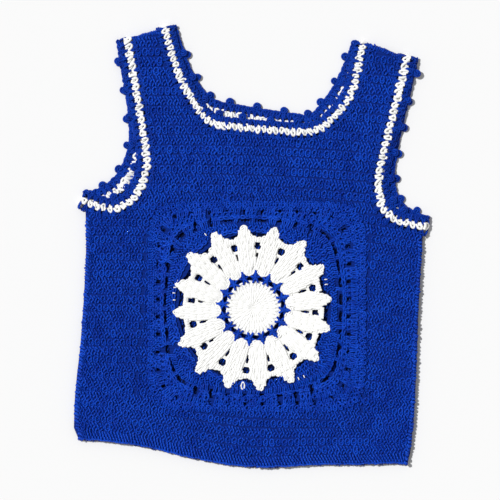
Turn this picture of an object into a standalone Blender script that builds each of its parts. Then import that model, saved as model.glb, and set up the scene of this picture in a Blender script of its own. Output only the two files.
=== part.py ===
"""Crochet vest, laid flat: two panels, a lace square with a flower, and edged openings.

The vest lies face up on a surface. X runs across it, Y up its length and Z away from the
surface. Sizes and tables are in millimetres, and become metres where a mesh is made.
"""

import math

import bmesh
import bpy
import numpy as np
from mathutils import Vector

MM = 0.001

# Middle of the whole lay in the tables' own plan; the part's origin is below it
LAY_CENTRE = (-0.58, -0.16)

# Cloth: half double crochet in a worsted yarn, and the gap kept at every seam
WALL = 3.5
GAP = 0.3
FRONT_FLOOR = WALL + GAP
FOLD_CENTRE = WALL + GAP / 2
FOLD_REACH = FOLD_CENTRE
EDGE_WALL = 0.9
SWELL = 0.9
FLOWER_RISE = 1.2

# Edge bands: the white round, and the blue round with its picots outside it
TRIM_WIDTH = 9.6
EDGING_WIDTH = 8.0
NECK_TUCK = 2.4
ARMHOLE_TUCK = 1.0
TUCK_RUN = 24.0
PICOT_HEIGHT = 6.0
PICOT_WIDTH = 10.0
PICOT_CLEAR = 11.0
KNOB = (
    # place across a picot in half widths, height in picot heights
    (-1.0, 0.0),
    (-0.62, 0.9),
    (0.62, 0.9),
    (1.0, 0.0),
)
BAND_STEP = 11.0
FOLD_STEPS = 4

# Side edges of both panels
SIDES = (
    # height, left, right
    (-243.0, -194.0, 203.0),
    (-233.0, -200.0, 205.0),
    (-205.0, -202.5, 206.5),
    (-125.0, -200.5, 205.5),
    (-65.0, -200.5, 203.5),
    (0.0, -202.5, 202.5),
    (42.0, -206.5, 202.0),
    (236.0, -186.0, 179.0),
)

# Hem edge, which dips at the middle
HEM = (
    # across, height
    (-194.0, -243.0),
    (-124.0, -245.0),
    (-80.0, -252.0),
    (-36.0, -259.0),
    (2.0, -262.0),
    (40.0, -260.5),
    (92.0, -254.0),
    (145.0, -250.0),
    (203.0, -244.0),
)

# Shoulder fold, from the left strap's outer end to the right strap's
SHOULDERS = (
    # across, height
    (-186.0, 234.0),
    (-165.0, 244.0),
    (-135.0, 255.5),
    (-112.0, 262.0),
    (0.0, 266.0),
    (100.0, 259.0),
    (130.0, 255.0),
    (158.0, 247.0),
    (179.0, 237.0),
)

# Middle line of the white round on each layer, from the first fold to the second
NECK_FRONT = (
    # across, height, bend
    (-122.5, 251.0, 0.0),
    (-105.0, 200.0, 30.0),
    (-66.0, 145.0, 22.0),
    (66.0, 143.5, 18.0),
    (104.5, 187.0, 24.0),
    (112.7, 249.0, 0.0),
)
NECK_BACK = (
    # across, height, bend
    (-122.5, 251.0, 0.0),
    (-104.0, 203.0, 24.0),
    (-72.0, 162.0, 20.0),
    (-12.0, 156.0, 26.0),
    (65.0, 150.0, 18.0),
    (97.0, 198.0, 24.0),
    (112.7, 249.0, 0.0),
)
ARMHOLE_LEFT_FRONT = (
    # across, height, bend
    (-167.0, 234.0, 0.0),
    (-133.0, 95.0, 22.0),
    (-140.0, 60.0, 16.0),
    (-160.0, 37.0, 14.0),
    (-186.0, 36.5, 10.0),
    (-203.0, 42.0, 0.0),
)
ARMHOLE_LEFT_BACK = (
    # across, height, bend
    (-167.0, 234.0, 0.0),
    (-148.5, 160.0, 30.0),
    (-142.5, 112.0, 24.0),
    (-158.5, 67.0, 20.0),
    (-184.0, 46.5, 10.0),
    (-203.0, 42.0, 0.0),
)
ARMHOLE_RIGHT_FRONT = (
    # across, height, bend
    (166.4, 236.5, 0.0),
    (141.0, 92.0, 22.0),
    (150.0, 58.0, 16.0),
    (167.0, 45.0, 12.0),
    (198.0, 42.0, 0.0),
)
ARMHOLE_RIGHT_BACK = (
    # across, height, bend
    (166.4, 236.5, 0.0),
    (150.0, 136.0, 30.0),
    (147.5, 95.0, 18.0),
    (156.0, 65.0, 16.0),
    (172.0, 51.0, 10.0),
    (198.0, 42.0, 0.0),
)
FOLD_RUN = 7.0

# Picots of each opening, on its front stretch and then on its back one
NECK_PICOTS = (
    # distance from the fold to the first, and from each to the next
    (27.5, 33.0),
    (16.0, 33.2),
)
LEFT_PICOTS = (
    # distance from the fold to the first, and from each to the next
    (18.5, 33.0),
    (29.5, 35.8),
)
RIGHT_PICOTS = (
    # distance from the fold to the first, and from each to the next
    (9.5, 33.0),
    (13.5, 33.0),
)
PRISM_REACH = 40.0

# Lace square let into the front, and the flower in it, both turned a little on the body
SQUARE_CENTRE = (8.6, -68.0)
SQUARE_HALF = (127.0, 122.5)
SQUARE_POWER = 9.0
SQUARE_STEPS = 56
SQUARE_TURN = math.radians(4.0)
SLIT_HALF = 105.0
SLIT_POWER = 3.6
SLIT_COUNT = 36
SLIT_SIZE = (12.5, 4.3)
SMALL_SLIT_SIZE = (9.0, 3.2)
STANDING_SLIT_SIZE = (10.5, 4.3)
SMALL_SLIT_TO = 45.0
STANDING_SLIT_TO = 86.0
EYELET_HALF = (115.0, 115.0)
EYELET_POWER = 6.0
EYELET_COUNT = 40
EYELET_SIZE = (4.2, 5.0)

FLOWER_CENTRE = (4.5, -70.0)
PETALS = 16
FIRST_PETAL = math.radians(95.7)
DISC_RADIUS = 31.4
DISC_BUMPS = 20
DISC_EDGE = (
    # share of one bump, reach in from the disc's radius
    (0.0, 2.7),
    (0.16, 0.5),
    (0.5, 0.0),
    (0.84, 0.5),
)
RING_GAP_SIZE = (5.4, 3.8)
RING_GAP_RADIUS = 35.6
PETAL_TIP = 98.4
LACE_INNER = 89.0
PETAL_EDGE = (
    # reach along the petal, half width there
    (0.0, 0.0),
    (-0.7, 2.6),
    (-5.9, 5.2),
    (-10.6, 7.0),
    (-13.2, 9.4),
    (-14.3, 12.2),
)
PETAL_HEEL = (
    # radius, half width there
    (43.6, 6.3),
    (41.0, 4.5),
    (39.6, 2.1),
)
NOTCH_RADIUS = 46.4
VALLEY_RADIUS = 84.2
PETAL_SLIT = (62.0, 2.4, 9.2)
PETAL_EYELET = (75.4, 8.4, 8.4)
SLOW_DRIFT = 1.9
QUICK_DRIFT = 0.3
CORNER_PULL = 2.2
UPRIGHT_PULL = 2.3
SIDE_PULL = 1.2

BLUE_YARN = (0.006, 0.034, 0.29)
WHITE_YARN = (0.88, 0.88, 0.86)


def clear_scene():
    """Take every object out of the scene."""
    for thing in list(bpy.data.objects):
        bpy.data.objects.remove(thing, do_unlink=True)


def yarn(name, colour):
    """Soft, matt yarn in one colour."""
    material = bpy.data.materials.new(name)
    material.use_nodes = True
    shader = material.node_tree.nodes["Principled BSDF"]
    shader.inputs["Base Color"].default_value = (*colour, 1.0)
    shader.inputs["Roughness"].default_value = 0.92
    shader.inputs["Metallic"].default_value = 0.0
    return material


def smooth_value(table, at, key=0, value=1):
    """Value of a smooth line through a table's rows, at one place on its key column."""
    keys = [row[key] for row in table]
    values = [row[value] for row in table]
    if at <= keys[0]:
        return values[0]
    if at >= keys[-1]:
        return values[-1]
    i = max(k for k in range(len(keys) - 1) if keys[k] <= at)
    slopes = np.gradient(values, keys)
    span = keys[i + 1] - keys[i]
    t = (at - keys[i]) / span
    rise = values[i + 1] - values[i]
    return (
        values[i]
        + rise * t * t * (3 - 2 * t)
        + span * t * (1 - t) * (slopes[i] * (1 - t) - slopes[i + 1] * t)
    )


def toward(corner, other, bend):
    """Point a bend's length from a corner towards another, or nearly half way if closer."""
    run = Vector(other[:2]) - corner
    return corner + run.normalized() * min(bend, run.length * 0.48)


def rounded_line(rows, steps=5):
    """Plan points of straight runs whose corners are bent over a length on each side."""
    points = [Vector(rows[0][:2])]
    for before, (x, y, bend), after in zip(rows, rows[1:], rows[2:]):
        corner = Vector((x, y))
        start = toward(corner, before, bend)
        end = toward(corner, after, bend)
        for k in range(steps + 1):
            t = k / steps
            points.append(start * (1 - t) ** 2 + corner * 2 * t * (1 - t) + end * t * t)
    points.append(Vector(rows[-1][:2]))
    return points


def folded_line(rows, first_way, last_way):
    """A rounded line that meets the folds at its two ends straight on."""
    points = rounded_line(rows)
    lead_in = points[0] - first_way * FOLD_RUN
    lead_out = points[-1] - last_way * FOLD_RUN
    return [points[0], lead_in, *points[1:-1], lead_out, points[-1]]


def along(points):
    """Distance of each point from the start of its line."""
    steps = [(b - a).length for a, b in zip(points, points[1:])]
    return np.concatenate(([0.0], np.cumsum(steps)))


def point_at(points, distances, at):
    """Point and heading at a distance along a line."""
    x = np.interp(at, distances, [p.x for p in points])
    y = np.interp(at, distances, [p.y for p in points])
    near = max(at - 3.0, 0.0)
    far = min(at + 3.0, distances[-1])
    heading = Vector(
        (
            np.interp(far, distances, [p.x for p in points])
            - np.interp(near, distances, [p.x for p in points]),
            np.interp(far, distances, [p.y for p in points])
            - np.interp(near, distances, [p.y for p in points]),
        )
    )
    return Vector((x, y)), heading.normalized()


class Opening:
    """One opening's band line: out along the front layer, back along the back layer."""

    def __init__(self, front_rows, back_rows, first_way, last_way, side, picots, tuck):
        self.first_way = Vector(first_way).normalized()
        self.last_way = Vector(last_way).normalized()
        self.front = folded_line(front_rows, self.first_way, self.last_way)
        self.back = folded_line(back_rows, self.first_way, self.last_way)
        self.side = side
        self.tuck = tuck
        self.mid_radius = FOLD_CENTRE - WALL / 2
        self.front_length = along(self.front)[-1]
        self.back_length = along(self.back)[-1]
        self.fold_length = math.pi * self.mid_radius
        self.length = self.front_length + self.back_length + 2 * self.fold_length
        self.knobs = self.knob_heights(picots)
        self.places = self.shared_places()

    def inward(self, heading):
        """Level direction from the band's middle line towards the opening."""
        return Vector((-heading.y, heading.x)) * self.side

    def station(self, at):
        """Place on the band's mid surface, direction to the opening, and outer face's way."""
        at = at % self.length
        if at <= self.front_length:
            return self.on_layer(self.front, at, WALL * 1.5 + GAP, 1.0)
        at -= self.front_length
        if at < self.fold_length:
            return self.on_fold(self.front[-1], self.last_way, at / self.fold_length, False)
        at -= self.fold_length
        if at <= self.back_length:
            return self.on_layer(self.back, self.back_length - at, WALL * 0.5, -1.0)
        at -= self.back_length
        return self.on_fold(self.front[0], self.first_way, at / self.fold_length, True)

    def on_layer(self, line, at, height, up):
        """Station on the flat front or back stretch."""
        distances = along(line)
        place, heading = point_at(line, distances, at)
        if at < FOLD_RUN:
            heading = -self.first_way
        elif distances[-1] - at < FOLD_RUN:
            heading = self.last_way
        across = self.inward(heading)
        return place.to_3d() + Vector((0, 0, height)), across.to_3d(), Vector((0, 0, up))

    def on_fold(self, place, way, share, rising):
        """Station round one fold; rising goes from the back layer up to the front one."""
        angle = math.pi * ((1 - share) if rising else share)
        out = way.to_3d() * math.sin(angle) + Vector((0, 0, math.cos(angle)))
        heading = -way if rising else way
        centre = place.to_3d() + Vector((0, 0, FOLD_CENTRE))
        return centre + out * self.mid_radius, self.inward(heading).to_3d(), out

    def fold_places(self):
        """Distances of the stations round both folds, with their two ends."""
        places = []
        for start in (self.front_length, self.length - self.fold_length):
            places += [start + self.fold_length * k / FOLD_STEPS for k in range(FOLD_STEPS + 1)]
        return places

    def knob_heights(self, picots):
        """Distance and height of each point that shapes a picot, clear of the folds."""
        stretches = (
            (0.0, self.front_length),
            (self.front_length + self.fold_length, self.back_length),
        )
        heights = {}
        for (start, length), (first, pitch) in zip(stretches, picots):
            at = first
            while at < length - PICOT_CLEAR:
                for place, height in KNOB:
                    heights[start + at + place * PICOT_WIDTH / 2] = height * PICOT_HEIGHT
                at += pitch
        return heights

    def tuck_at(self, at):
        """How far the front's picot round stops short of the whole width, clear of the folds."""
        if at >= self.front_length:
            return 0.0
        from_fold = min(at, self.front_length - at) - FOLD_RUN
        return self.tuck * min(max(from_fold / TUCK_RUN, 0.0), 1.0)

    def shared_places(self):
        """Stations that the bands and the panels all follow, so that their seams match."""
        fixed = sorted({0.0, *self.knobs, *self.fold_places()[:-1]})
        places = []
        for at, after in zip(fixed, fixed[1:] + [self.length]):
            steps = max(round((after - at) / BAND_STEP), 1)
            places += [at + (after - at) * k / steps for k in range(steps)]
        return places

    def cut_outline(self, layer, far_corner):
        """Plan outline of what this opening takes out of a panel."""
        offset = TRIM_WIDTH / 2 + GAP
        if layer == "front":
            line = self.front
            spots = [at for at in self.places if at < self.front_length] + [self.front_length]
        else:
            line = self.back
            start = self.front_length + self.fold_length
            end = start + self.back_length
            spots = [at for at in self.places if start <= at < end] + [end]
            spots.reverse()
        outline = []
        for at in spots:
            place, across, _ = self.station(at)
            outline.append(place.to_2d() - across.to_2d() * offset)
        first = outline[0] + self.first_way * PRISM_REACH
        last = outline[-1] + self.last_way * PRISM_REACH
        return [first, *outline, last, Vector(far_corner)]


def band_mesh(opening, near, reach_at):
    """Closed ring with a flat section: near and reach are offsets towards the opening."""
    shape = bmesh.new()
    rings = []
    for at in opening.places:
        centre, across, out = opening.station(at)
        reach = reach_at(at)
        corners = (
            (near, -WALL / 2),
            (reach, -WALL / 2),
            (reach, WALL / 2),
            (near, WALL / 2),
        )
        rings.append(
            [shape.verts.new((centre + across * o + out * h) * MM) for o, h in corners]
        )
    for ring, after in zip(rings, rings[1:] + rings[:1]):
        for k in range(4):
            n = (k + 1) % 4
            shape.faces.new((ring[k], ring[n], after[n], after[k]))
    bmesh.ops.recalc_face_normals(shape, faces=shape.faces)
    return shape


def to_object(name, shape, material, collection):
    """Object in a collection from a finished bmesh."""
    mesh = bpy.data.meshes.new(name)
    shape.to_mesh(mesh)
    shape.free()
    mesh.materials.append(material)
    thing = bpy.data.objects.new(name, mesh)
    thing.location = (-LAY_CENTRE[0] * MM, -LAY_CENTRE[1] * MM, 0.0)
    collection.objects.link(thing)
    return thing


def build_trim(name, opening, material, collection):
    """White round along an opening."""
    half = TRIM_WIDTH / 2
    shape = band_mesh(opening, -half, lambda at: half)
    return to_object(name, shape, material, collection)


def build_edging(name, opening, material, collection):
    """Blue round outside the white one, with a picot at every pitch."""
    near = TRIM_WIDTH / 2 + GAP
    reach = near + EDGING_WIDTH
    shape = band_mesh(
        opening,
        near,
        lambda at: reach + opening.knobs.get(at, 0.0) - opening.tuck_at(at),
    )
    return to_object(name, shape, material, collection)


def steps_from_edge(length, count):
    """Shares along a side: close together at its ends, where the cloth rounds over."""
    ends = [0.0, 1.1 / length, 3.6 / length]
    middle = list(np.linspace(14.0 / length, 1 - 14.0 / length, count))
    return ends + middle + [1 - share for share in reversed(ends)]


def edge_round(distance):
    """Height of the cloth's rounded rim, from its thin edge up to the whole wall."""
    if distance >= FOLD_REACH:
        return WALL
    arc = math.sqrt(FOLD_REACH**2 - (FOLD_REACH - distance) ** 2) / FOLD_REACH
    return EDGE_WALL + (WALL - EDGE_WALL) * arc


def swell(x, y):
    """How far the front's face lifts where the cloth lies a little unevenly."""
    wave = math.sin(x / 61.0 + y / 90.0 + 0.7) * math.cos(y / 72.0 - x / 130.0)
    return SWELL * (0.5 + 0.5 * wave)


def panel_place(u, v):
    """Plan point of a panel at shares across and up, between its four edges."""
    hem_left, hem_right = HEM[0], HEM[-1]
    top_left, top_right = SHOULDERS[0], SHOULDERS[-1]
    hem_x = hem_left[0] + (hem_right[0] - hem_left[0]) * u
    hem = Vector((hem_x, smooth_value(HEM, hem_x)))
    top_x = top_left[0] + (top_right[0] - top_left[0]) * u
    top = Vector((top_x, smooth_value(SHOULDERS, top_x)))
    left_y = hem_left[1] + (top_left[1] - hem_left[1]) * v
    left = Vector((smooth_value(SIDES, left_y, 0, 1), left_y))
    right_y = hem_right[1] + (top_right[1] - hem_right[1]) * v
    right = Vector((smooth_value(SIDES, right_y, 0, 2), right_y))
    corners = (
        Vector(hem_left) * (1 - u) * (1 - v)
        + Vector(hem_right) * u * (1 - v)
        + Vector(top_left) * (1 - u) * v
        + Vector(top_right) * u * v
    )
    return hem * (1 - v) + top * v + left * (1 - u) + right * u - corners


def panel_mesh(floor, up):
    """Whole panel before its openings are cut; up is 1 for the front and -1 for the back."""
    width = SIDES[2][2] - SIDES[2][1]
    height = SHOULDERS[0][1] - HEM[0][1]
    columns = steps_from_edge(width, 13)
    rows = steps_from_edge(height, 15)
    shape = bmesh.new()
    inner = []
    outer = []
    seam = floor if up > 0 else floor + WALL
    for v in rows:
        inner.append([])
        outer.append([])
        for u in columns:
            place = panel_place(u, v)
            from_side = min(u, 1 - u) * width
            from_end = min(v, 1 - v) * height
            rise = edge_round(min(from_side, from_end))
            lift = swell(place.x, place.y) if up > 0 and rise >= WALL else 0.0
            inner[-1].append(shape.verts.new((place.x * MM, place.y * MM, seam * MM)))
            z = seam + up * (rise + lift)
            outer[-1].append(shape.verts.new((place.x * MM, place.y * MM, z * MM)))
    join_skins(shape, inner, outer)
    bmesh.ops.recalc_face_normals(shape, faces=shape.faces)
    return shape


def join_skins(shape, inner, outer):
    """Faces of two grids of points and of the rim between them."""
    for grid in (inner, outer):
        for low, high in zip(grid, grid[1:]):
            for k in range(len(low) - 1):
                shape.faces.new((low[k], low[k + 1], high[k + 1], high[k]))
    rims = []
    for grid in (inner, outer):
        left = [row[0] for row in grid]
        right = [row[-1] for row in grid]
        rims.append(grid[0] + right[1:] + grid[-1][-2::-1] + left[-2:0:-1])
    inside, outside = rims
    for k in range(len(inside)):
        n = (k + 1) % len(inside)
        shape.faces.new((inside[k], inside[n], outside[n], outside[k]))


def prism(name, outline, low, high, collection):
    """Upright cutter on a plan outline."""
    shape = bmesh.new()
    bottom = [shape.verts.new((p.x * MM, p.y * MM, low * MM)) for p in outline]
    face = shape.faces.new(bottom)
    lifted = bmesh.ops.extrude_face_region(shape, geom=[face])
    verts = [v for v in lifted["geom"] if isinstance(v, bmesh.types.BMVert)]
    bmesh.ops.translate(shape, verts=verts, vec=(0, 0, (high - low) * MM))
    bmesh.ops.recalc_face_normals(shape, faces=shape.faces)
    mesh = bpy.data.meshes.new(name)
    shape.to_mesh(mesh)
    shape.free()
    cutter = bpy.data.objects.new(name, mesh)
    cutter.location = (-LAY_CENTRE[0] * MM, -LAY_CENTRE[1] * MM, 0.0)
    cutter.hide_render = True
    cutter.display_type = "WIRE"
    collection.objects.link(cutter)
    return cutter


def cut(thing, cutters):
    """Take cutters out of an object, one after another."""
    for cutter in cutters:
        step = thing.modifiers.new("Cut " + cutter.name, "BOOLEAN")
        step.operation = "DIFFERENCE"
        step.solver = "EXACT"
        step.object = cutter


def turned(point, centre, angle):
    """Point given about a centre, turned and put in the vest's plan."""
    x, y = point
    cosine, sine = math.cos(angle), math.sin(angle)
    return Vector((centre[0] + x * cosine - y * sine, centre[1] + x * sine + y * cosine))


def soft_square(angle, half, power):
    """Point of a square with round sides and corners, at an angle about its centre."""
    cosine, sine = math.cos(angle), math.sin(angle)
    x = math.copysign(abs(cosine) ** (2 / power), cosine) * half[0]
    y = math.copysign(abs(sine) ** (2 / power), sine) * half[1]
    return Vector((x, y))


def even_round(half, power, count, start=0.0):
    """Evenly spaced points round a soft square, each with the heading of the line there."""
    loop = [soft_square(2 * math.pi * k / 720, half, power) for k in range(720)]
    loop.append(loop[0])
    distances = along(loop)
    places = []
    for k in range(count):
        at = distances[-1] * ((k + start) / count % 1.0)
        places.append(point_at(loop, distances, at))
    return places


def hole(place, heading, size, sides=6):
    """Small long hole: its length lies along the heading."""
    across = Vector((-heading.y, heading.x))
    corners = []
    for k in range(sides):
        angle = 2 * math.pi * (k + 0.5) / sides
        reach = math.cos(math.pi / sides)
        corners.append(
            place
            + heading * math.cos(angle) * size[0] / 2 / reach
            + across * math.sin(angle) * size[1] / 2
        )
    return corners


def drawn_in(loop, gap):
    """Closed loop moved sideways by a gap, to the left of its own direction."""
    moved = []
    count = len(loop)
    for k, place in enumerate(loop):
        before = (place - loop[k - 1]).normalized()
        after = (loop[(k + 1) % count] - place).normalized()
        one = Vector((-before.y, before.x))
        two = Vector((-after.y, after.x))
        moved.append(place + (one + two) * gap / (1 + one.dot(two)))
    return moved


def slit(place, heading):
    """Hole of the lace's inner round: above and below the flower, those near a corner stand."""
    level = abs(heading.x) > abs(heading.y)
    if level and abs(place.x) < SMALL_SLIT_TO:
        return hole(place, heading, SMALL_SLIT_SIZE)
    if level and abs(place.x) < STANDING_SLIT_TO:
        return hole(place, Vector((0.0, 1.0)), STANDING_SLIT_SIZE)
    return hole(place, heading, SLIT_SIZE)


def petal_angles():
    """Heading of each petal's tip: evenly round, apart from a small drift of the work."""
    angles = []
    for k in range(PETALS):
        turn = 2 * math.pi * k / PETALS
        drift = SLOW_DRIFT * math.sin(turn + 0.55) + QUICK_DRIFT * math.sin(2.4 * k + 0.6)
        angles.append(FIRST_PETAL - turn + math.radians(drift))
    return angles


def petal_reach(angle):
    """Radius of a petal's tip: the square draws the tips out, to its corners most."""
    pull = CORNER_PULL * math.cos(4 * angle) + UPRIGHT_PULL * math.cos(2 * angle)
    return PETAL_TIP - pull - SIDE_PULL * math.cos(angle)


def polar(radius, angle):
    """Plan point from a radius and an angle."""
    return Vector((math.cos(angle) * radius, math.sin(angle) * radius))


def petal_points(angle, grow):
    """One petal's rim, clockwise, grown by a clearance."""
    tip = petal_reach(angle)
    middle = polar(1.0, angle)
    side = Vector((middle.y, -middle.x))
    rim = []
    for sign in (-1, 1):
        rows = PETAL_EDGE[:0:-1] if sign < 0 else PETAL_EDGE[1:]
        rim += [middle * (tip + reach + grow) + side * sign * (half + grow) for reach, half in rows]
        if sign < 0:
            rim.append(middle * (tip + grow))
    return rim


def petal_outline():
    """Whole outer edge of the petals, with a short linking arc in each valley."""
    angles = petal_angles()
    outline = []
    for k, angle in enumerate(angles):
        outline += petal_points(angle, 0.0)
        after = angles[(k + 1) % PETALS]
        gap = (angle - after) % (2 * math.pi)
        outline.append(polar(VALLEY_RADIUS, angle - gap / 2))
    return outline


def heel_outline():
    """Inner edge of the petals, clockwise: a round heel to each, and a notch between."""
    angles = petal_angles()
    outline = []
    for k, angle in enumerate(angles):
        middle = polar(1.0, angle)
        side = Vector((middle.y, -middle.x))
        outline += [middle * radius - side * half for radius, half in PETAL_HEEL]
        outline += [middle * radius + side * half for radius, half in reversed(PETAL_HEEL)]
        after = angles[(k + 1) % PETALS]
        gap = (angle - after) % (2 * math.pi)
        outline.append(polar(NOTCH_RADIUS, angle - gap / 2))
    return outline


def lace_inner_outline():
    """Inner edge of the lace: bays for the petals' tips, and arcs between them."""
    angles = petal_angles()
    outline = []
    for k, angle in enumerate(angles):
        rim = petal_points(angle, GAP * 2)
        outline += [p for p in rim if p.length > LACE_INNER]
        after = angles[(k + 1) % PETALS]
        gap = (angle - after) % (2 * math.pi)
        for share in (0.34, 0.5, 0.66):
            outline.append(polar(LACE_INNER, angle - gap * share))
    return outline


def flat_piece(name, outlines, floor, ceiling, material, collection):
    """Flat cloth between two heights from plan outlines, the first its rim, the rest holes."""
    curve = bpy.data.curves.new(name, "CURVE")
    curve.dimensions = "2D"
    curve.fill_mode = "BOTH"
    curve.extrude = (ceiling - floor) / 2 * MM
    for outline in outlines:
        spline = curve.splines.new("POLY")
        spline.points.add(len(outline) - 1)
        spline.use_cyclic_u = True
        for point, place in zip(spline.points, outline):
            point.co = (place.x * MM, place.y * MM, 0.0, 1.0)
    guide = bpy.data.objects.new(name + " outline", curve)
    collection.objects.link(guide)
    guide.location.z = (floor + ceiling) / 2 * MM
    bpy.context.view_layer.update()
    ready = guide.evaluated_get(bpy.context.evaluated_depsgraph_get())
    mesh = bpy.data.meshes.new_from_object(ready)
    mesh.name = name
    mesh.transform(guide.matrix_world)
    bpy.data.objects.remove(guide, do_unlink=True)
    shape = bmesh.new()
    shape.from_mesh(mesh)
    bmesh.ops.remove_doubles(shape, verts=shape.verts, dist=0.00001)
    bmesh.ops.triangulate(shape, faces=[f for f in shape.faces if len(f.verts) > 4])
    bmesh.ops.recalc_face_normals(shape, faces=shape.faces)
    return to_object(name, shape, material, collection)


def build_motif(blue, white, collection):
    """Lace square and the flower's three rounds, in the front's own layer."""
    turn = SQUARE_TURN
    top = FRONT_FLOOR + WALL

    def on_square(points):
        return [turned(p, SQUARE_CENTRE, turn) for p in points]

    def on_flower(points):
        return [turned(p, FLOWER_CENTRE, turn) for p in points]

    rim = [place for place, _ in even_round(SQUARE_HALF, SQUARE_POWER, SQUARE_STEPS)]
    lace = [on_square(rim), on_flower(lace_inner_outline())]
    for place, heading in even_round((SLIT_HALF, SLIT_HALF), SLIT_POWER, SLIT_COUNT, 0.5):
        lace.append(on_flower(slit(place, heading)))
    for place, heading in even_round(EYELET_HALF, EYELET_POWER, EYELET_COUNT, 0.5):
        across = Vector((-heading.y, heading.x))
        lace.append(on_flower(hole(place, across, EYELET_SIZE[::-1], 4)))
    flat_piece("motif_lace", lace, FRONT_FLOOR, top, blue, collection)

    disc = []
    for k in range(DISC_BUMPS):
        for share, reach in DISC_EDGE:
            angle = 2 * math.pi * (k + share) / DISC_BUMPS
            disc.append(polar(DISC_RADIUS - reach, angle))
    flat_piece(
        "flower_centre", [on_flower(disc)], FRONT_FLOOR, top + FLOWER_RISE, white, collection
    )

    inner = (DISC_RADIUS + GAP) / math.cos(math.pi / PETALS / 2)
    ring = [
        on_flower(drawn_in(heel_outline(), -GAP)),
        on_flower([polar(inner, math.pi * k / PETALS) for k in range(PETALS * 2)]),
    ]
    for angle in petal_angles():
        middle = polar(RING_GAP_RADIUS, angle)
        heading = Vector((-math.sin(angle), math.cos(angle)))
        ring.append(on_flower(hole(middle, heading, RING_GAP_SIZE, 4)))
    flat_piece("flower_ring", ring, FRONT_FLOOR, top, blue, collection)

    petals = [
        on_flower(petal_outline()),
        on_flower(heel_outline()),
    ]
    angles = petal_angles()
    for k, angle in enumerate(angles):
        gap = (angle - angles[(k + 1) % PETALS]) % (2 * math.pi)
        valley = angle - gap / 2
        outward = polar(1.0, valley)
        for radius, width, length in (PETAL_SLIT, PETAL_EYELET):
            petals.append(on_flower(hole(polar(radius, valley), outward, (length, width))))
    flat_piece(
        "flower_petals", petals, FRONT_FLOOR, top + FLOWER_RISE, white, collection
    )


def build_panels(openings, blue, collection, cutters):
    """Front and back, each cut to its openings, and the front to the lace square."""
    far_corners = {
        "neck": (0.0, 420.0),
        "armhole_left": (-330.0, 300.0),
        "armhole_right": (330.0, 300.0),
    }
    window = [
        turned(place, SQUARE_CENTRE, SQUARE_TURN)
        for place, _ in even_round(
            (SQUARE_HALF[0] + GAP, SQUARE_HALF[1] + GAP), SQUARE_POWER, SQUARE_STEPS
        )
    ]
    for layer, floor, up in (("front", FRONT_FLOOR, 1.0), ("back", 0.0, -1.0)):
        panel = to_object(layer, panel_mesh(floor, up), blue, collection)
        tools = []
        for name, opening in openings.items():
            outline = opening.cut_outline(layer, far_corners[name])
            tools.append(
                prism(f"{layer} {name} cut", outline, floor - WALL, floor + 3 * WALL, cutters)
            )
        if layer == "front":
            tools.append(prism("window cut", window, floor - WALL, floor + 3 * WALL, cutters))
        cut(panel, tools)


def main():
    """Build the vest."""
    clear_scene()
    parts = bpy.data.collections.new("crochet vest")
    cutters = bpy.data.collections.new("cutters")
    for group in (parts, cutters):
        bpy.context.scene.collection.children.link(group)
    blue = yarn("blue_yarn", BLUE_YARN)
    white = yarn("white_yarn", WHITE_YARN)
    openings = {
        "neck": Opening(
            NECK_FRONT,
            NECK_BACK,
            (-0.25, 1.0),
            (0.2, 1.0),
            1.0,
            NECK_PICOTS,
            NECK_TUCK,
        ),
        "armhole_left": Opening(
            ARMHOLE_LEFT_FRONT,
            ARMHOLE_LEFT_BACK,
            (-0.25, 1.0),
            (-1.0, 0.3),
            -1.0,
            LEFT_PICOTS,
            ARMHOLE_TUCK,
        ),
        "armhole_right": Opening(
            ARMHOLE_RIGHT_FRONT,
            ARMHOLE_RIGHT_BACK,
            (0.17, 1.0),
            (1.0, -0.12),
            1.0,
            RIGHT_PICOTS,
            ARMHOLE_TUCK,
        ),
    }
    build_panels(openings, blue, parts, cutters)
    build_motif(blue, white, parts)
    for name, opening in openings.items():
        build_trim(name + "_trim", opening, white, parts)
        build_edging(name + "_edging", opening, blue, parts)


main()
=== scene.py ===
"""Looks of a crochet vest laid flat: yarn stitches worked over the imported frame's panels.

Every piece of cloth has a thin closed ground, taken from its own node and drawn in a little,
and the yarn that covers it is laid as round strands by Geometry Nodes. Places are read from
the frame's nodes, so a stitch always lies on the cloth that carries it.
"""

import logging
import math
import random
from collections.abc import Iterator
from dataclasses import dataclass
from enum import Enum

import bmesh
import bpy
from mathutils import Euler, Matrix, Vector
from mathutils.bvhtree import BVHTree


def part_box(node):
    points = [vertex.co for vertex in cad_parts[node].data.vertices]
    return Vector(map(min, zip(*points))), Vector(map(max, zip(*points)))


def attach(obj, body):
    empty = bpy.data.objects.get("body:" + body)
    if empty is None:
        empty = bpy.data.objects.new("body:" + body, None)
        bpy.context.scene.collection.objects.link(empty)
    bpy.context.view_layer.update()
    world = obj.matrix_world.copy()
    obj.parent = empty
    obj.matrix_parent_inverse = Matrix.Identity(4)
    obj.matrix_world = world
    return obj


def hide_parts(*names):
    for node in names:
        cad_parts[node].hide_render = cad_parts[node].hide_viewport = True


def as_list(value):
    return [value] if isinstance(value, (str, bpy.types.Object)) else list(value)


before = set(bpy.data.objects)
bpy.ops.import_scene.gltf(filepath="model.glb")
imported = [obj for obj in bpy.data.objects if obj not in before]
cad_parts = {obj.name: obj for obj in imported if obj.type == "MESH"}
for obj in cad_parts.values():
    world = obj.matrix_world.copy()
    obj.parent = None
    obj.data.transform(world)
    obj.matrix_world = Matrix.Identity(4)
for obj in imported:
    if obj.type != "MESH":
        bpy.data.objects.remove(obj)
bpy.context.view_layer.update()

MM = 0.001
UP = Vector((0.0, 0.0, 1.0))
ROOT = "root"
LOG = logging.getLogger("crochet_vest")
Socket = bpy.types.NodeSocket

# Driving sizes of the yarn and of the work, in millimetres
STITCH_WIDTH = 7.6
ROW_HEIGHT = 10.3
YARN_RADIUS = 1.35
GROUND_INSET = 0.75
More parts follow.
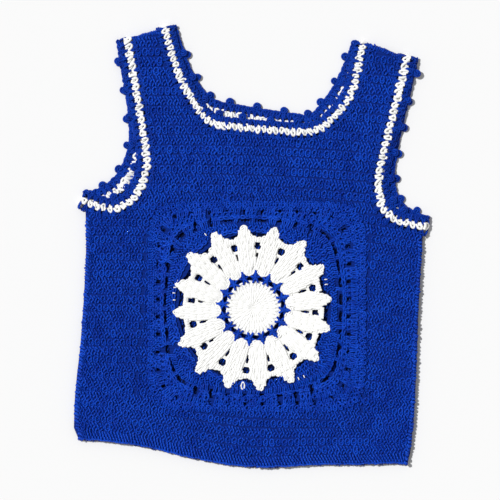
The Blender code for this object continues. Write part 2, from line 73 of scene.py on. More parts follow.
# A drawn in corner moves at most this many insets
MOST_INSETS = 1.6
# Points nearer than this are one point, in metres
SAME_POINT = 1e-6
# Lines that part by less than this, in square metres, run along each other
PARALLEL = 1e-12
# Rays start this far from the floor or the middle, in metres
FAR_ABOVE = 0.1
FAR_ASIDE = 0.4


class Kind(Enum):
    """Ways in which a stitch shows."""

    POST = "post"
    BEAD = "bead"
    UNDER = "under"
    HEM = "hem"
    LOOP = "loop"
    KNOT = "knot"
    EDGE = "edge"
    CHAIN = "chain"
    PICOT = "picot"
    TREBLE = "treble"
    PETAL = "petal"
    STAR = "star"
    TURN = "turn"
    LOOSE = "loose"
    FOOT = "foot"
    SPECK = "speck"


@dataclass(frozen=True)
class Strand:
    """One length of yarn in a stitch, through a few points in millimetres."""

    points: tuple[tuple[float, float, float], ...]
    radius: float
    steps: int
    closed: bool

    def line(self) -> list[Vector]:
        """Points of a smooth line through the strand's own points."""
        own = [Vector(p) for p in self.points]
        count = len(own)
        spans = count if self.closed else count - 1
        line = []
        for i in range(spans):
            if self.closed:
                before, start, end, after = (own[(i + k) % count] for k in (-1, 0, 1, 2))
            else:
                start, end = own[i], own[i + 1]
                before = own[i - 1] if i else start * 2 - end
                after = own[i + 2] if i + 2 < count else end * 2 - start
            for k in range(self.steps):
                line.append(between(before, start, end, after, k / self.steps))
        if not self.closed:
            line.append(own[-1])
        return line


def between(a: Vector, b: Vector, c: Vector, d: Vector, t: float) -> Vector:
    """Point at a share t of the way from b to c on a smooth line through a, b, c and d."""
    return 0.5 * (
        b * 2
        + (c - a) * t
        + (a * 2 - b * 5 + c * 4 - d) * t * t
        + (b * 3 - a - c * 3 + d) * t * t * t
    )


def strands(steps: int, *rows: tuple, closed: bool = False) -> tuple[Strand, ...]:
    """Strands of one stitch from a table.

    Args:
        steps: Parts that each span of a strand is divided into.
        *rows: Share of the yarn's radius, then points across, along and out, in millimetres.
        closed: Whether each strand joins its own start.
    """
    return tuple(Strand(tuple(points), radius, steps, closed) for radius, *points in rows)


STITCHES: dict[Kind, tuple[Strand, ...]] = {
    Kind.POST: strands(
        1,
        (1.02, (-3.5, 4.7, -0.7), (-2.6, 3.5, 0.9), (-1.7, 2.3, -0.7)),
        (1.0, (0.3, 4.8, -0.7), (1.0, 3.5, 1.0), (1.9, 2.2, -0.7)),
        (1.0, (-1.7, -0.9, -0.7), (-0.9, 0.1, 1.0), (-0.1, 1.2, -0.7)),
        (1.04, (2.1, 1.5, -0.7), (2.8, 0.1, 0.9), (3.2, -1.3, -0.7)),
        (1.0, (-2.9, -2.1, -0.7), (-2.7, -3.4, 0.9), (-2.1, -4.7, -0.7)),
        (1.0, (0.3, -4.6, -0.7), (1.1, -3.4, 1.0), (2.0, -2.4, -0.7)),
    ),
    Kind.BEAD: strands(
        1,
        (1.12, (-3.1, 1.6, -0.7), (-2.6, 0.0, 1.0), (-2.8, -1.5, -0.7)),
        (1.12, (2.3, 1.5, -0.7), (1.9, 0.1, 1.0), (2.5, -1.5, -0.7)),
        (0.9, (-1.0, -1.0, -0.6), (0.0, -1.6, 0.6), (1.1, -1.2, -0.6)),
        (1.0, (-2.0, 2.6, -0.7), (-1.3, 3.6, 1.0), (-0.4, 4.7, -0.7)),
        (1.0, (0.9, 4.5, -0.7), (1.9, 3.6, 0.9), (2.8, 2.8, -0.7)),
        (1.0, (-2.5, -2.7, -0.7), (-1.7, -3.6, 1.0), (-0.8, -4.5, -0.7)),
        (1.0, (0.6, -4.5, -0.7), (1.5, -3.6, 0.9), (2.2, -2.5, -0.7)),
    ),
    Kind.UNDER: strands(
        2,
        (1.15, (-2.6, 5.0, -0.8), (-0.9, 0.0, 0.5), (1.0, -5.2, -0.8)),
        (1.15, (0.6, 5.0, -0.8), (2.2, 0.0, 0.5), (3.8, -5.2, -0.8)),
    ),
    Kind.HEM: strands(
        1,
        (1.02, (-3.3, 5.2, -0.7), (-2.6, 3.9, 0.9), (-1.9, 2.7, -0.6)),
        (1.0, (0.4, 5.1, -0.7), (1.0, 3.8, 1.0), (1.8, 2.6, -0.6)),
        (1.0, (-1.4, 2.0, -0.6), (-0.8, 0.7, 1.0), (-0.2, -0.6, -0.6)),
        (1.02, (2.2, 2.0, -0.6), (2.8, 0.8, 0.9), (3.4, -0.5, -0.6)),
        (1.0, (-3.1, -1.4, -0.5), (-2.6, -2.5, 0.8), (-2.0, -3.7, -0.5)),
        (1.0, (0.4, -1.3, -0.5), (1.0, -2.5, 0.8), (1.7, -3.7, -0.5)),
        (0.95, (-3.9, -4.6, -0.5), (-2.0, -4.9, 0.4), (0.0, -4.6, -0.2)),
        (0.95, (0.1, -4.7, -0.2), (2.0, -4.9, 0.4), (3.9, -4.6, -0.5)),
    ),
    Kind.LOOP: strands(
        2,
        (1.16, (-3.2, 4.4, -0.5), (-2.9, 0.9, 0.6), (-1.0, -3.3, 0.6),
         (1.9, -4.6, 0.1), (2.8, -1.6, 0.6), (0.9, 3.6, 0.3)),
        (0.84, (-1.7, 4.4, 0.2), (-0.4, 2.0, 0.7), (0.3, -0.4, 0.1)),
    ),
    Kind.KNOT: strands(
        2,
        (1.2, (-3.4, 4.2, -0.3), (-1.7, 0.9, 0.8), (-0.9, -4.4, 0.1)),
        (1.14, (2.9, 4.4, -0.3), (2.2, 0.2, 0.9), (0.9, -4.0, 0.1)),
        (0.98, (-2.9, 3.2, 0.0), (-0.2, 4.7, 0.7), (2.7, 3.6, 0.2)),
    ),
    Kind.EDGE: strands(
        2,
        (0.98, (-0.2, -6.8, -0.6), (-0.9, -2.4, 0.8), (-1.7, 1.0, 0.7), (-2.7, 3.9, -0.2)),
        (0.98, (0.5, -6.2, -0.5), (0.8, -2.4, 0.9), (1.5, 1.2, 0.7), (2.5, 4.1, -0.2)),
        (0.84, (-3.7, 1.8, 0.0), (-1.2, 0.4, 0.9), (1.6, -0.6, 0.7), (3.7, -1.2, 0.0)),
    ),
    Kind.CHAIN: strands(
        2,
        (0.95, (-4.2, 0.3, -0.5), (-2.0, 1.6, 0.5), (1.4, 1.2, 0.6), (3.8, -0.4, -0.4)),
        (0.9, (-4.2, -0.5, 0.0), (-1.4, -1.6, 0.7), (1.8, -1.1, 0.6), (4.0, 0.3, 0.0)),
    ),
    Kind.PICOT: strands(
        3,
        (1.2, (-2.8, -1.8, -0.2), (-4.2, 1.4, 0.5), (-2.2, 4.8, 0.6),
         (1.4, 5.2, 0.4), (4.1, 2.4, 0.6), (3.1, -1.6, 0.2)),
    )
    + strands(
        2,
        (1.1, (-2.2, -0.6, 0.6), (-1.2, 2.2, 1.6), (1.2, 2.8, 1.2)),
        (1.1, (0.4, -2.4, 0.8), (1.7, 0.2, 1.5), (1.2, 2.6, 1.0)),
    ),
    Kind.TREBLE: strands(
        2,
        (1.05, (-2.2, -4.6, -0.8), (-1.5, -0.6, 0.5), (-1.2, 4.0, -0.3)),
        (1.05, (0.6, -4.6, -0.8), (1.3, -0.6, 0.5), (1.7, 4.0, -0.3)),
        (0.88, (-3.5, 3.1, -0.3), (-1.1, 4.6, 0.7), (1.5, 4.2, 0.7), (3.6, 2.9, -0.3)),
    ),
    Kind.PETAL: strands(
        2,
        (1.12, (-1.7, -5.6, -0.6), (-1.5, -0.6, 0.4), (-1.1, 5.0, 0.1)),
        (1.12, (0.6, -5.6, -0.6), (1.0, -0.6, 0.5), (1.3, 5.0, 0.1)),
    ),
    Kind.STAR: strands(
        2,
        (0.84, (-3.2, -6.9, 1.9), (-1.9, -4.0, 2.9), (0.8, 1.4, 1.2), (1.7, 5.0, -0.2)),
        (0.84, (3.0, -6.6, 1.9), (1.7, -3.8, 2.9), (-0.8, 1.6, 1.2), (-1.7, 5.0, -0.2)),
        (0.92, (-5.6, 1.4, -1.0), (-2.0, -0.4, 0.5), (2.2, -0.2, 0.5), (5.6, 1.4, -1.0)),
        (0.9, (0.1, -0.6, 0.8), (0.2, 4.0, 1.2), (0.1, 8.4, -0.2)),
    ),
    Kind.TURN: strands(
        1,
        (1.25, (4.2, 2.5, -0.6), (2.2, 3.8, 0.5), (0.5, 3.7, -0.4), (0.4, 3.1, -4.0)),
        (1.25, (4.0, -1.0, -0.6), (2.1, 0.4, 0.5), (0.5, 0.4, -0.4), (0.4, -0.2, -4.0)),
        (1.25, (4.2, -4.5, -0.6), (2.2, -3.1, 0.5), (0.5, -3.1, -0.4), (0.4, -3.7, -4.0)),
    ),
    Kind.FOOT: strands(
        2,
        (0.98, (-0.2, 5.2, -0.3), (-0.7, 1.2, 0.8), (-2.4, -4.8, -0.5)),
        (0.98, (0.5, 4.6, -0.2), (1.1, 0.6, 0.8), (2.4, -4.9, -0.5)),
        (0.84, (-3.6, -1.6, 0.0), (-1.4, -2.6, 0.7), (1.4, -2.3, 0.6), (3.6, -3.0, 0.0)),
    ),
    Kind.SPECK: strands(
        2,
        (0.5, (-1.5, 0.0, -0.3), (0.0, 0.2, 0.3), (1.5, 0.0, -0.3)),
    ),
    Kind.LOOSE: strands(
        2,
        (0.8, (-1.4, -3.2, 0.2), (-2.3, 0.4, 0.5), (-0.7, 4.0, 0.4),
         (0.6, 5.0, 0.4), (1.9, 0.8, 0.6), (0.9, -3.4, 0.2)),
        closed=True,
    ),
}


class Wiring:
    """Short ways to add nodes to a tree, and to set or link their inputs."""

    def __init__(self, tree: bpy.types.NodeTree) -> None:
        """Hold the tree.

        Args:
            tree: Tree of a material or of Geometry Nodes.
        """
        self.tree = tree

    def give(self, socket: Socket, value: object) -> None:
        """Link a socket where the value is another node's output, and set it otherwise."""
        if isinstance(value, Socket):
            self.tree.links.new(value, socket)
        else:
            socket.default_value = value

    def add(self, form: str, traits: dict | None = None, **inputs: object) -> bpy.types.Node:
        """New node, with its settings first and then its inputs.

        Args:
            form: Type of node.
            traits: Settings by attribute.
            **inputs: Values or outputs by the input's name, with underscores for spaces.
        """
        node = self.tree.nodes.new(form)
        for name, value in (traits or {}).items():
            setattr(node, name, value)
        for name, value in inputs.items():
            self.give(node.inputs[name.replace("_", " ")], value)
        return node

    def math(self, operation: str, *values: object, clamp: bool = False) -> Socket:
        """Result of one Math node on its values."""
        node = self.add("ShaderNodeMath", {"operation": operation, "use_clamp": clamp})
        for socket, value in zip(node.inputs, values):
            self.give(socket, value)
        return node.outputs[0]


class Surface(Wiring):
    """A new material's tree, built up about its shader."""

    def __init__(self, name: str, **inputs: object) -> None:
        """Make the material.

        Args:
            name: Name of the material.
            **inputs: The shader's inputs by name, with underscores for spaces.
        """
        self.material = bpy.data.materials.new(name)
        self.material.use_nodes = True
        super().__init__(self.material.node_tree)
        self.shader = self.tree.nodes["Principled BSDF"]
        for label, value in inputs.items():
            self.give(self.shader.inputs[label.replace("_", " ")], value)

    def place(self) -> Socket:
        """Object coordinates."""
        return self.add("ShaderNodeTexCoord").outputs["Object"]

    def kept(self, name: str) -> Socket:
        """Number kept on the mesh under a name."""
        return self.add("ShaderNodeAttribute", {"attribute_name": name}).outputs["Fac"]

    def noise(self, scale: float, detail: float) -> Socket:
        """Noise on object coordinates."""
        node = self.add("ShaderNodeTexNoise", Scale=scale, Detail=detail, Vector=self.place())
        return node.outputs["Fac"]

    def raise_by(self, height: Socket, strength: float, depth: float) -> None:
        """Bump the surface by a height."""
        node = self.add("ShaderNodeBump", Strength=strength, Distance=depth, Height=height)
        self.give(self.shader.inputs["Normal"], node.outputs["Normal"])

    def shade_between(self, shade: tuple, colour: tuple, share: Socket) -> None:
        """Colour the surface between a shade and a full colour."""
        ends = {"A": (*shade, 1.0), "B": (*colour, 1.0)}
        node = self.add("ShaderNodeMix", {"data_type": "RGBA"}, Factor=share, **ends)
        self.give(self.shader.inputs["Base Color"], node.outputs["Result"])


@dataclass(frozen=True)
class Finish:
    """Name, slot and the two colours of a material."""

    name: str
    slot: str
    colour: tuple[float, float, float]
    shade: tuple[float, float, float]

    def material(self) -> bpy.types.Material:
        """The finish's material, made when it is first asked for."""
        return bpy.data.materials.get(self.name) or self.paint()


@dataclass(frozen=True)
class YarnFinish(Finish):
    """Matt plied yarn in one colour, with a little drift from stitch to stitch, and painted shade in
    the grooves between its plies.
    """

    sheen: float
    ply_depth: float
    roughness: float = 0.44
    gloss: float = 0.12
    sheen_spread: float = 0.5
    plies: int = 3
    ply_turns: float = 0.22
    groove: float = 0.0005
    fuzz: tuple[float, float] = (1900.0, 3.0)
    patches: tuple[float, float] = (26.0, 2.0)
    grain: tuple[float, float] = (560.0, 1.0)
    grain_share: float = 2.4
    groove_share: float = 0.5
    ply_shade_share: float = 0.16
    stitch_share: tuple[float, float] = (0.5, 0.28)
    patch_share: tuple[float, float] = (0.9, -0.42)

    def paint(self) -> bpy.types.Material:
        """Node material that reads the strands' own length and turn."""
        surface = Surface(
            self.name,
            Roughness=self.roughness,
            Specular_IOR_Level=self.gloss,
            Sheen_Weight=self.sheen,
            Sheen_Roughness=self.sheen_spread,
            Sheen_Tint=(*self.colour, 1.0),
        )
        calc = surface.math
        twist = calc("MULTIPLY_ADD", surface.kept("along"), self.ply_turns, surface.kept("around"))
        wave = calc("SINE", calc("MULTIPLY", twist, math.tau * self.plies))
        height = calc("MULTIPLY_ADD", wave, self.groove_share, surface.noise(*self.fuzz))
        surface.raise_by(height, self.ply_depth, self.groove)
        stitch = calc("MULTIPLY_ADD", surface.kept("tint"), *self.stitch_share)
        # Painted shade: darker in the grooves between the plies, lighter on their crowns.
        ply = calc("MULTIPLY_ADD", wave, self.ply_shade_share, stitch)
        patch = calc("MULTIPLY_ADD", surface.noise(*self.patches), *self.patch_share)
        share = calc("ADD", ply, patch, clamp=True)
        mean_grain = -0.5 * self.grain_share
        speckle = calc("MULTIPLY_ADD", surface.noise(*self.grain), self.grain_share, mean_grain)
        surface.shade_between(self.shade, self.colour, calc("ADD", share, speckle, clamp=True))
        return surface.material


@dataclass(frozen=True)
class GroundFinish(Finish):
    """Cloth under the stitches: the same yarn, painted darker as the shade between the stitches, and
    faintly ribbed, with painted shade in the rib grooves.
    """

    roughness: float = 0.95
    gloss: float = 0.15
    rib_scale: float = 90.0
    rib_sway: float = 3.0
    rib_detail: float = 2.0
    rib_bump: tuple[float, float] = (0.5, 0.0006)

    def paint(self) -> bpy.types.Material:
        """Node material on object coordinates."""
        surface = Surface(self.name, Roughness=self.roughness, Specular_IOR_Level=self.gloss)
        ribs = surface.add(
            "ShaderNodeTexWave",
            {"bands_direction": "Y"},
            Scale=self.rib_scale,
            Distortion=self.rib_sway,
            Detail=self.rib_detail,
            Vector=surface.place(),
        ).outputs["Fac"]
        # Painted shade: the ground is darker than the yarn, and darker again in the rib grooves.
        surface.shade_between(self.shade, self.colour, ribs)
        surface.raise_by(ribs, *self.rib_bump)
        return surface.material


BLUE = YarnFinish(
    "Blue plied yarn", "blue_yarn", (0.005, 0.072, 0.58), (0.0006, 0.024, 0.31), 0.0, 0.7
)
# The same blue yarn painted darker: painted shade on the edging and between its stitches.
SHADED_EDGE_BLUE = YarnFinish(
    "Blue edging yarn in painted shade", "blue_yarn", (0.003, 0.05, 0.43), (0.0006, 0.02, 0.25), 0.0, 0.8
)
WHITE = YarnFinish(
    "White plied yarn", "white_yarn", (0.885, 0.885, 0.87), (0.82, 0.82, 0.80), 0.05, 0.25, 0.85
)
# The grounds take the yarn's colours painted darker, as shade under the stitches.
BLUE_GROUND = GroundFinish("Blue ground", "blue_yarn", (0.0008, 0.02, 0.2), (0.0008, 0.014, 0.15))
# The back's ground is painted near black: painted shade for the shadow under the front and in the
# lace's holes.
SHADED_BACK_GROUND = GroundFinish(
    "Back ground in painted shade", "blue_yarn", (0.0005, 0.005, 0.045), (0.0004, 0.004, 0.03)
)
WHITE_GROUND = GroundFinish("White ground", "white_yarn", (0.84, 0.84, 0.82), (0.74, 0.74, 0.72))


@dataclass
class Spot:
    """Where one stitch lies: its centre, its three directions and its size."""

    place: Vector
    along: Vector
    across: Vector
    out: Vector
    size: tuple[float, float, float] = (1.0, 1.0, 1.0)

    def grow(self, along: float, across: float) -> None:
        """Scale the stitch in its own plane."""
        self.size = (self.size[0] * along, self.size[1] * across, self.size[2])

    def turn(self) -> Euler:
        """Rotation that takes a stitch's own axes to this spot's."""
        return Matrix((self.along, self.across, self.out)).transposed().to_euler()


def spot_on(place: Vector, along: Vector, out: Vector, size: tuple = (1.0, 1.0, 1.0)) -> Spot:
    """Spot with square axes from a direction along the work and the cloth's outward way.

    Args:
        place: Centre, in metres.
        along: Direction of the row.
        out: Direction away from the cloth.
        size: Scale of the stitch along, across and out.
    """
    out = out.normalized()
    across = out.cross(along).normalized()
    return Spot(place, across.cross(out).normalized(), across, out, size)


class NodeShape:
    """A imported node's merged surface, for reading places and edges."""

    FLAT_SLOPE = 0.9
    LEVEL_REACH = 0.6 * MM

    def __init__(self, name: str) -> None:
        """Merge the node's loose triangles.

        Args:
            name: Node in the frame.
        """
        self.name = name
        self.shape = bmesh.new()
        self.shape.from_mesh(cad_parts[name].data)
        bmesh.ops.remove_doubles(self.shape, verts=self.shape.verts, dist=SAME_POINT)
        self.shape.normal_update()
        self.tree = BVHTree.FromBMesh(self.shape)
        self.low, self.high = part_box(name)

    def hit(self, x: float, y: float, down: bool = True) -> tuple[Vector, Vector] | None:
        """Point and normal of the surface above, or below, a plan point."""
        start = Vector((x, y, FAR_ABOVE if down else -FAR_ABOVE))
        place, normal, _, _ = self.tree.ray_cast(start, -UP if down else UP)
        return None if place is None else (place, normal)

    def edge(self, start: Vector, way: Vector) -> Vector | None:
        """Where a level ray first meets the node."""
        return self.tree.ray_cast(start, way)[0]

    def faces(self, up: bool) -> list[bmesh.types.BMFace]:
        """Flat faces of the node's top, or of its underside."""
        sign = 1.0 if up else -1.0
        level = self.high.z if up else self.low.z
        return [
            f
            for f in self.shape.faces
            if f.normal.z * sign > self.FLAT_SLOPE
            and abs(f.calc_center_median().z - level) < self.LEVEL_REACH
        ]

    def loops(self) -> list[list[Vector]]:
        """Closed edges of the flat top in plan, longest first."""
        flat = self.faces(True)
        top = set(flat)
        follow = {}
        for face in flat:
            for loop in face.loops:
                if not any(f in top for f in loop.edge.link_faces if f is not face):
                    follow[loop.vert] = loop.link_loop_next.vert
        rings = []
        while follow:
            start, vert = follow.popitem()
            ring = [start.co.to_2d()]
            while vert in follow:
                ring.append(vert.co.to_2d())
                vert = follow.pop(vert)
            rings.append(ring)
        return sorted(rings, key=ring_length, reverse=True)

    def midline(self, up: bool) -> list[Vector]:
        """Middle line of a strip of flat faces, from one of its ends to the other."""
        strip = set(self.faces(up))
        shared = {}
        for face in strip:
            shared[face] = [
                (edge, other)
                for edge in face.edges
                for other in edge.link_faces
                if other is not face and other in strip
            ]
        face = min(
            (f for f in strip if len(shared[f]) == 1),
            key=lambda f: tuple(round(c, 6) for c in f.calc_center_median()),
        )
        line = []
        seen = {face}
        while True:
            steps = [(e, f) for e, f in shared[face] if f not in seen]
            if not steps:
                return line
            edge, face = steps[0]
            seen.add(face)
            line.append((edge.verts[0].co + edge.verts[1].co) / 2)


def in_scene(thing: bpy.types.Object) -> bpy.types.Object:
    """The object, linked to the scene."""
    bpy.context.scene.collection.objects.link(thing)
    return thing


def ring_length(ring: list[Vector]) -> float:
    """Length of a closed plan line."""
    return sum((a - b).length for a, b in zip(ring, ring[1:] + ring[:1]))


def centre_of(ring: list[Vector]) -> Vector:
    """Mean point of a ring."""
    total = Vector((0.0, 0.0))
    for point in ring:
        total += point
    return total / len(ring)


def walk(
    points: list[Vector], pitch: float, closed: bool, phase: float = 0.5
) -> Iterator[tuple[int, float]]:
    """Even places along a line.

    Args:
        points: Points of the line.
        pitch: Wanted distance between places, in metres.
        closed: Whether the line joins its own start.
        phase: Share of a pitch before the first place.

    Yields:
        Index of the point before each place, and the share of the way to the next point.
    """
    ends = points[1:] + points[:1] if closed else points[1:]
    runs = [0.0]
    for a, b in zip(points, ends):
        runs.append(runs[-1] + (b - a).length)
    count = max(1, round(runs[-1] / pitch))
    index = 0
    for k in range(count):
        at = runs[-1] * (k + phase) / count
        while runs[index + 1] < at:
            index += 1
        yield index, (at - runs[index]) / (runs[index + 1] - runs[index])


def spread(ring: list[Vector], pitch: float) -> list[tuple[Vector, Vector]]:
    """Even places along a closed line, with the unit heading at each.

    Args:
        ring: Points of the line.
        pitch: Wanted distance between places, in metres.
    """
    points = ring + [ring[0]]
    places = []
    for index, share in walk(ring, pitch, closed=True):
        place = points[index].lerp(points[index + 1], share)
        heading = points[min(index + 2, len(ring))] - points[max(index - 1, 0)]
        places.append((place, heading.normalized()))
    return places


def stitch_guide(kind: Kind) -> bpy.types.Object:
    """Curve object that holds one stitch's strands, in metres."""
    curve = bpy.data.curves.new(f"{kind.value} strands", "CURVE")
    curve.dimensions = "3D"
    for strand in STITCHES[kind]:
        line = strand.line()
        spline = curve.splines.new("POLY")
        spline.points.add(len(line) - 1)
        spline.use_cyclic_u = strand.closed
        for point, place in zip(spline.points, line):
            point.co = (*(place * MM), 1.0)
            point.radius = strand.radius
    return in_scene(bpy.data.objects.new(f"{kind.value} guide", curve))


class StitchTree(Wiring):
    """Geometry Nodes tree that lays one yarn stitch on every given point."""

    NAME = "Lay stitches"
    SIZE_SEED_STEP = 17.0

    def __init__(self) -> None:
        """Build the tree once, with its named inputs."""
        super().__init__(bpy.data.node_groups.new(self.NAME, "GeometryNodeTree"))
        face = self.tree.interface
        self.sockets = {}
        for name, form, value in (
            ("Points", "NodeSocketGeometry", None),
            ("Stitch", "NodeSocketObject", None),
            ("Yarn Radius", "NodeSocketFloat", YARN_RADIUS * MM),
            ("Sides", "NodeSocketInt", 6),
            ("Turn Drift", "NodeSocketFloat", 0.06),
            ("Size Drift", "NodeSocketFloat", 0.05),
            ("Seed", "NodeSocketInt", 1),
            ("Finish", "NodeSocketMaterial", None),
        ):
            socket = face.new_socket(name=name, in_out="INPUT", socket_type=form)
            if value is not None:
                socket.default_value = value
            self.sockets[name] = socket.identifier
        face.new_socket(name="Stitches", in_out="OUTPUT", socket_type="NodeSocketGeometry")
        given = {socket.name: socket for socket in self.add("NodeGroupInput").outputs}
        self.add("NodeGroupOutput", Stitches=self.dressed(given, self.laid(given)))

    def store(
        self, flow: Socket, name: str, value: Socket, domain: str = "POINT"
    ) -> Socket:
        """Geometry with a number kept on it under a name."""
        traits = {"data_type": "FLOAT", "domain": domain}
        form = "GeometryNodeStoreNamedAttribute"
        return self.add(form, traits, Geometry=flow, Name=name, Value=value).outputs["Geometry"]

    def vector(self, operation: str, *values: Socket, **named: object) -> Socket:
        """Result of one Vector Math node."""
        node = self.add("ShaderNodeVectorMath", {"operation": operation}, **named)
        for socket, value in zip(node.inputs, values):
            self.give(socket, value)
        return node.outputs["Vector"]

    def drift(self, seed: Socket, amount: Socket) -> Socket:
        """Random vector for each stitch, up to an amount each way."""
        traits = {"data_type": "FLOAT_VECTOR"}
        draw = self.add("FunctionNodeRandomValue", traits, Min=(-1.0, -1.0, -1.0), Seed=seed)
        return self.vector("SCALE", draw.outputs["Value"], Scale=amount)

    def kept(self, name: str) -> Socket:
        """Vector kept on the points under a name."""
        traits = {"data_type": "FLOAT_VECTOR"}
        return self.add("GeometryNodeInputNamedAttribute", traits, Name=name).outputs["Attribute"]

    def yarn(self, given: dict[str, Socket]) -> Socket:
        """One stitch: its strands as tubes that carry their length and their turn."""
        strands = self.add("GeometryNodeObjectInfo", Object=given["Stitch"]).outputs["Geometry"]
        length = self.add("GeometryNodeSplineParameter").outputs["Length"]
        strands = self.store(strands, "along", self.math("MULTIPLY", length, 1.0 / MM))
        sizes = {"Resolution": given["Sides"], "Radius": given["Yarn Radius"]}
        circle = self.add("GeometryNodeCurvePrimitiveCircle", **sizes).outputs["Curve"]
        turn = self.add("GeometryNodeSplineParameter").outputs["Factor"]
        circle = self.store(circle, "around", turn)
        tube = self.add("GeometryNodeCurveToMesh", Fill_Caps=True, Curve=strands, Profile_Curve=circle)
        if "Scale" in tube.inputs:
            self.give(tube.inputs["Scale"], self.add("GeometryNodeInputRadius").outputs[0])
        return self.add("GeometryNodeSetShadeSmooth", Geometry=tube.outputs["Mesh"]).outputs["Geometry"]

    def laid(self, given: dict[str, Socket]) -> Socket:
        """The stitch on every point, turned and sized as the point says and a little beyond."""
        turn = self.add("FunctionNodeEulerToRotation", Euler=self.kept("turn"))
        swing = self.drift(given["Seed"], given["Turn Drift"])
        both = self.add(
            "FunctionNodeRotateRotation",
            {"rotation_space": "LOCAL"},
            Rotation=turn.outputs["Rotation"],
            Rotate_By=self.add("FunctionNodeEulerToRotation", Euler=swing).outputs["Rotation"],
        )
        reseed = self.math("ADD", given["Seed"], self.SIZE_SEED_STEP)
        growth = self.drift(reseed, given["Size Drift"])
        size = self.kept("size")
        laid = self.add(
            "GeometryNodeInstanceOnPoints",
            Points=given["Points"],
            Instance=self.yarn(given),
            Rotation=both.outputs["Rotation"],
            Scale=self.vector("MULTIPLY_ADD", growth, size, size),
        )
        tint = self.add("FunctionNodeRandomValue", {"data_type": "FLOAT"}, Seed=given["Seed"])
        return self.store(laid.outputs["Instances"], "tint", tint.outputs[1], "INSTANCE")

    def dressed(self, given: dict[str, Socket], flow: Socket) -> Socket:
        """Plain mesh of all stitches in the yarn's finish."""
        flow = self.add("GeometryNodeRealizeInstances", Geometry=flow).outputs["Geometry"]
        for name in ("turn", "size"):
            dropped = self.add("GeometryNodeRemoveAttribute", Name=name, Geometry=flow)
            flow = dropped.outputs["Geometry"]
        inputs = {"Geometry": flow, "Material": given["Finish"]}
        return self.add("GeometryNodeSetMaterial", **inputs).outputs["Geometry"]

    def lay(
        self, kind: Kind, spots: list[Spot], finish: YarnFinish, seed: int, **sizes: float
    ) -> bpy.types.Mesh:
        """Plain mesh of one stitch on every spot.

        Args:
            kind: Stitch to lay.
            spots: Places, in metres.
            finish: Yarn.
            seed: Seed of the drift between stitches.
            **sizes: Values for the tree's other named inputs, by name.

        Returns:
            A mesh in the frame's own place.
        """
        points = bpy.data.meshes.new("stitch points")
        points.from_pydata([s.place for s in spots], [], [])
        for name, rows in (("turn", [s.turn() for s in spots]), ("size", [s.size for s in spots])):
            kept = points.attributes.new(name, "FLOAT_VECTOR", "POINT")
            kept.data.foreach_set("vector", [value for row in rows for value in row])
        carrier = in_scene(bpy.data.objects.new("stitch points", points))
        guide = stitch_guide(kind)
        modifier = carrier.modifiers.new(self.NAME, "NODES")
        modifier.node_group = self.tree
        given = {"Stitch": guide, "Seed": seed, "Finish": finish.material(), **sizes}
        for name, value in given.items():
            modifier[self.sockets[name.replace("_", " ")]] = value
        bpy.context.view_layer.update()
        ready = carrier.evaluated_get(bpy.context.evaluated_depsgraph_get())
        mesh = bpy.data.meshes.new_from_object(ready)
        for thing in (carrier, guide):
            bpy.data.objects.remove(thing, do_unlink=True)
        mesh.materials.clear()
        mesh.materials.append(finish.material())
        mesh.polygons.foreach_set("material_index", [0] * len(mesh.polygons))
        return mesh


def yarn_piece(name: str, meshes: list[bpy.types.Mesh], slot: str) -> bpy.types.Object:
    """One finished piece from several plain meshes that share a slot.

    Args:
        name: Name of the piece.
        meshes: Meshes that the piece takes up.
        slot: Slot of its material; not used.
    """
    shape = bmesh.new()
    for mesh in meshes:
        shape.from_mesh(mesh)
    joined = bpy.data.meshes.new(name)
    shape.to_mesh(joined)
    shape.free()
    joined.materials.clear()
    joined.materials.append(meshes[0].materials[0])
    for mesh in meshes:
        bpy.data.meshes.remove(mesh)
    return finish_piece(in_scene(bpy.data.objects.new(name, joined)), slot)


def finish_piece(piece: bpy.types.Object, slot: str) -> bpy.types.Object:
    """Fix a finished piece to the vest's body."""
    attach(piece, ROOT)
    LOG.info("%s: %d faces", piece.name, len(piece.data.polygons))
    return piece


def ground(node: NodeShape, finish: GroundFinish, inset: float = GROUND_INSET) -> bpy.types.Object:
    """Thin closed cloth in a node's own form, drawn in so that the yarn stands over it."""
    shape = node.shape.copy()
    moves = [v.normal * min(v.calc_shell_factor(), MOST_INSETS) for v in shape.verts]
    for vert, move in zip(shape.verts, moves):
        vert.co -= move * inset * MM
    mesh = bpy.data.meshes.new(node.name + "_ground")
    shape.to_mesh(mesh)
    shape.free()
    mesh.materials.append(finish.material())
    piece = in_scene(bpy.data.objects.new(node.name + "_ground", mesh))
    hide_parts(node.name)
    return finish_piece(piece, finish.slot)


def flat_area(node: NodeShape) -> float:
    """Area of a node's plan in square metres."""
    return sum(f.calc_area() * abs(f.normal.z) for f in node.shape.faces) / 2


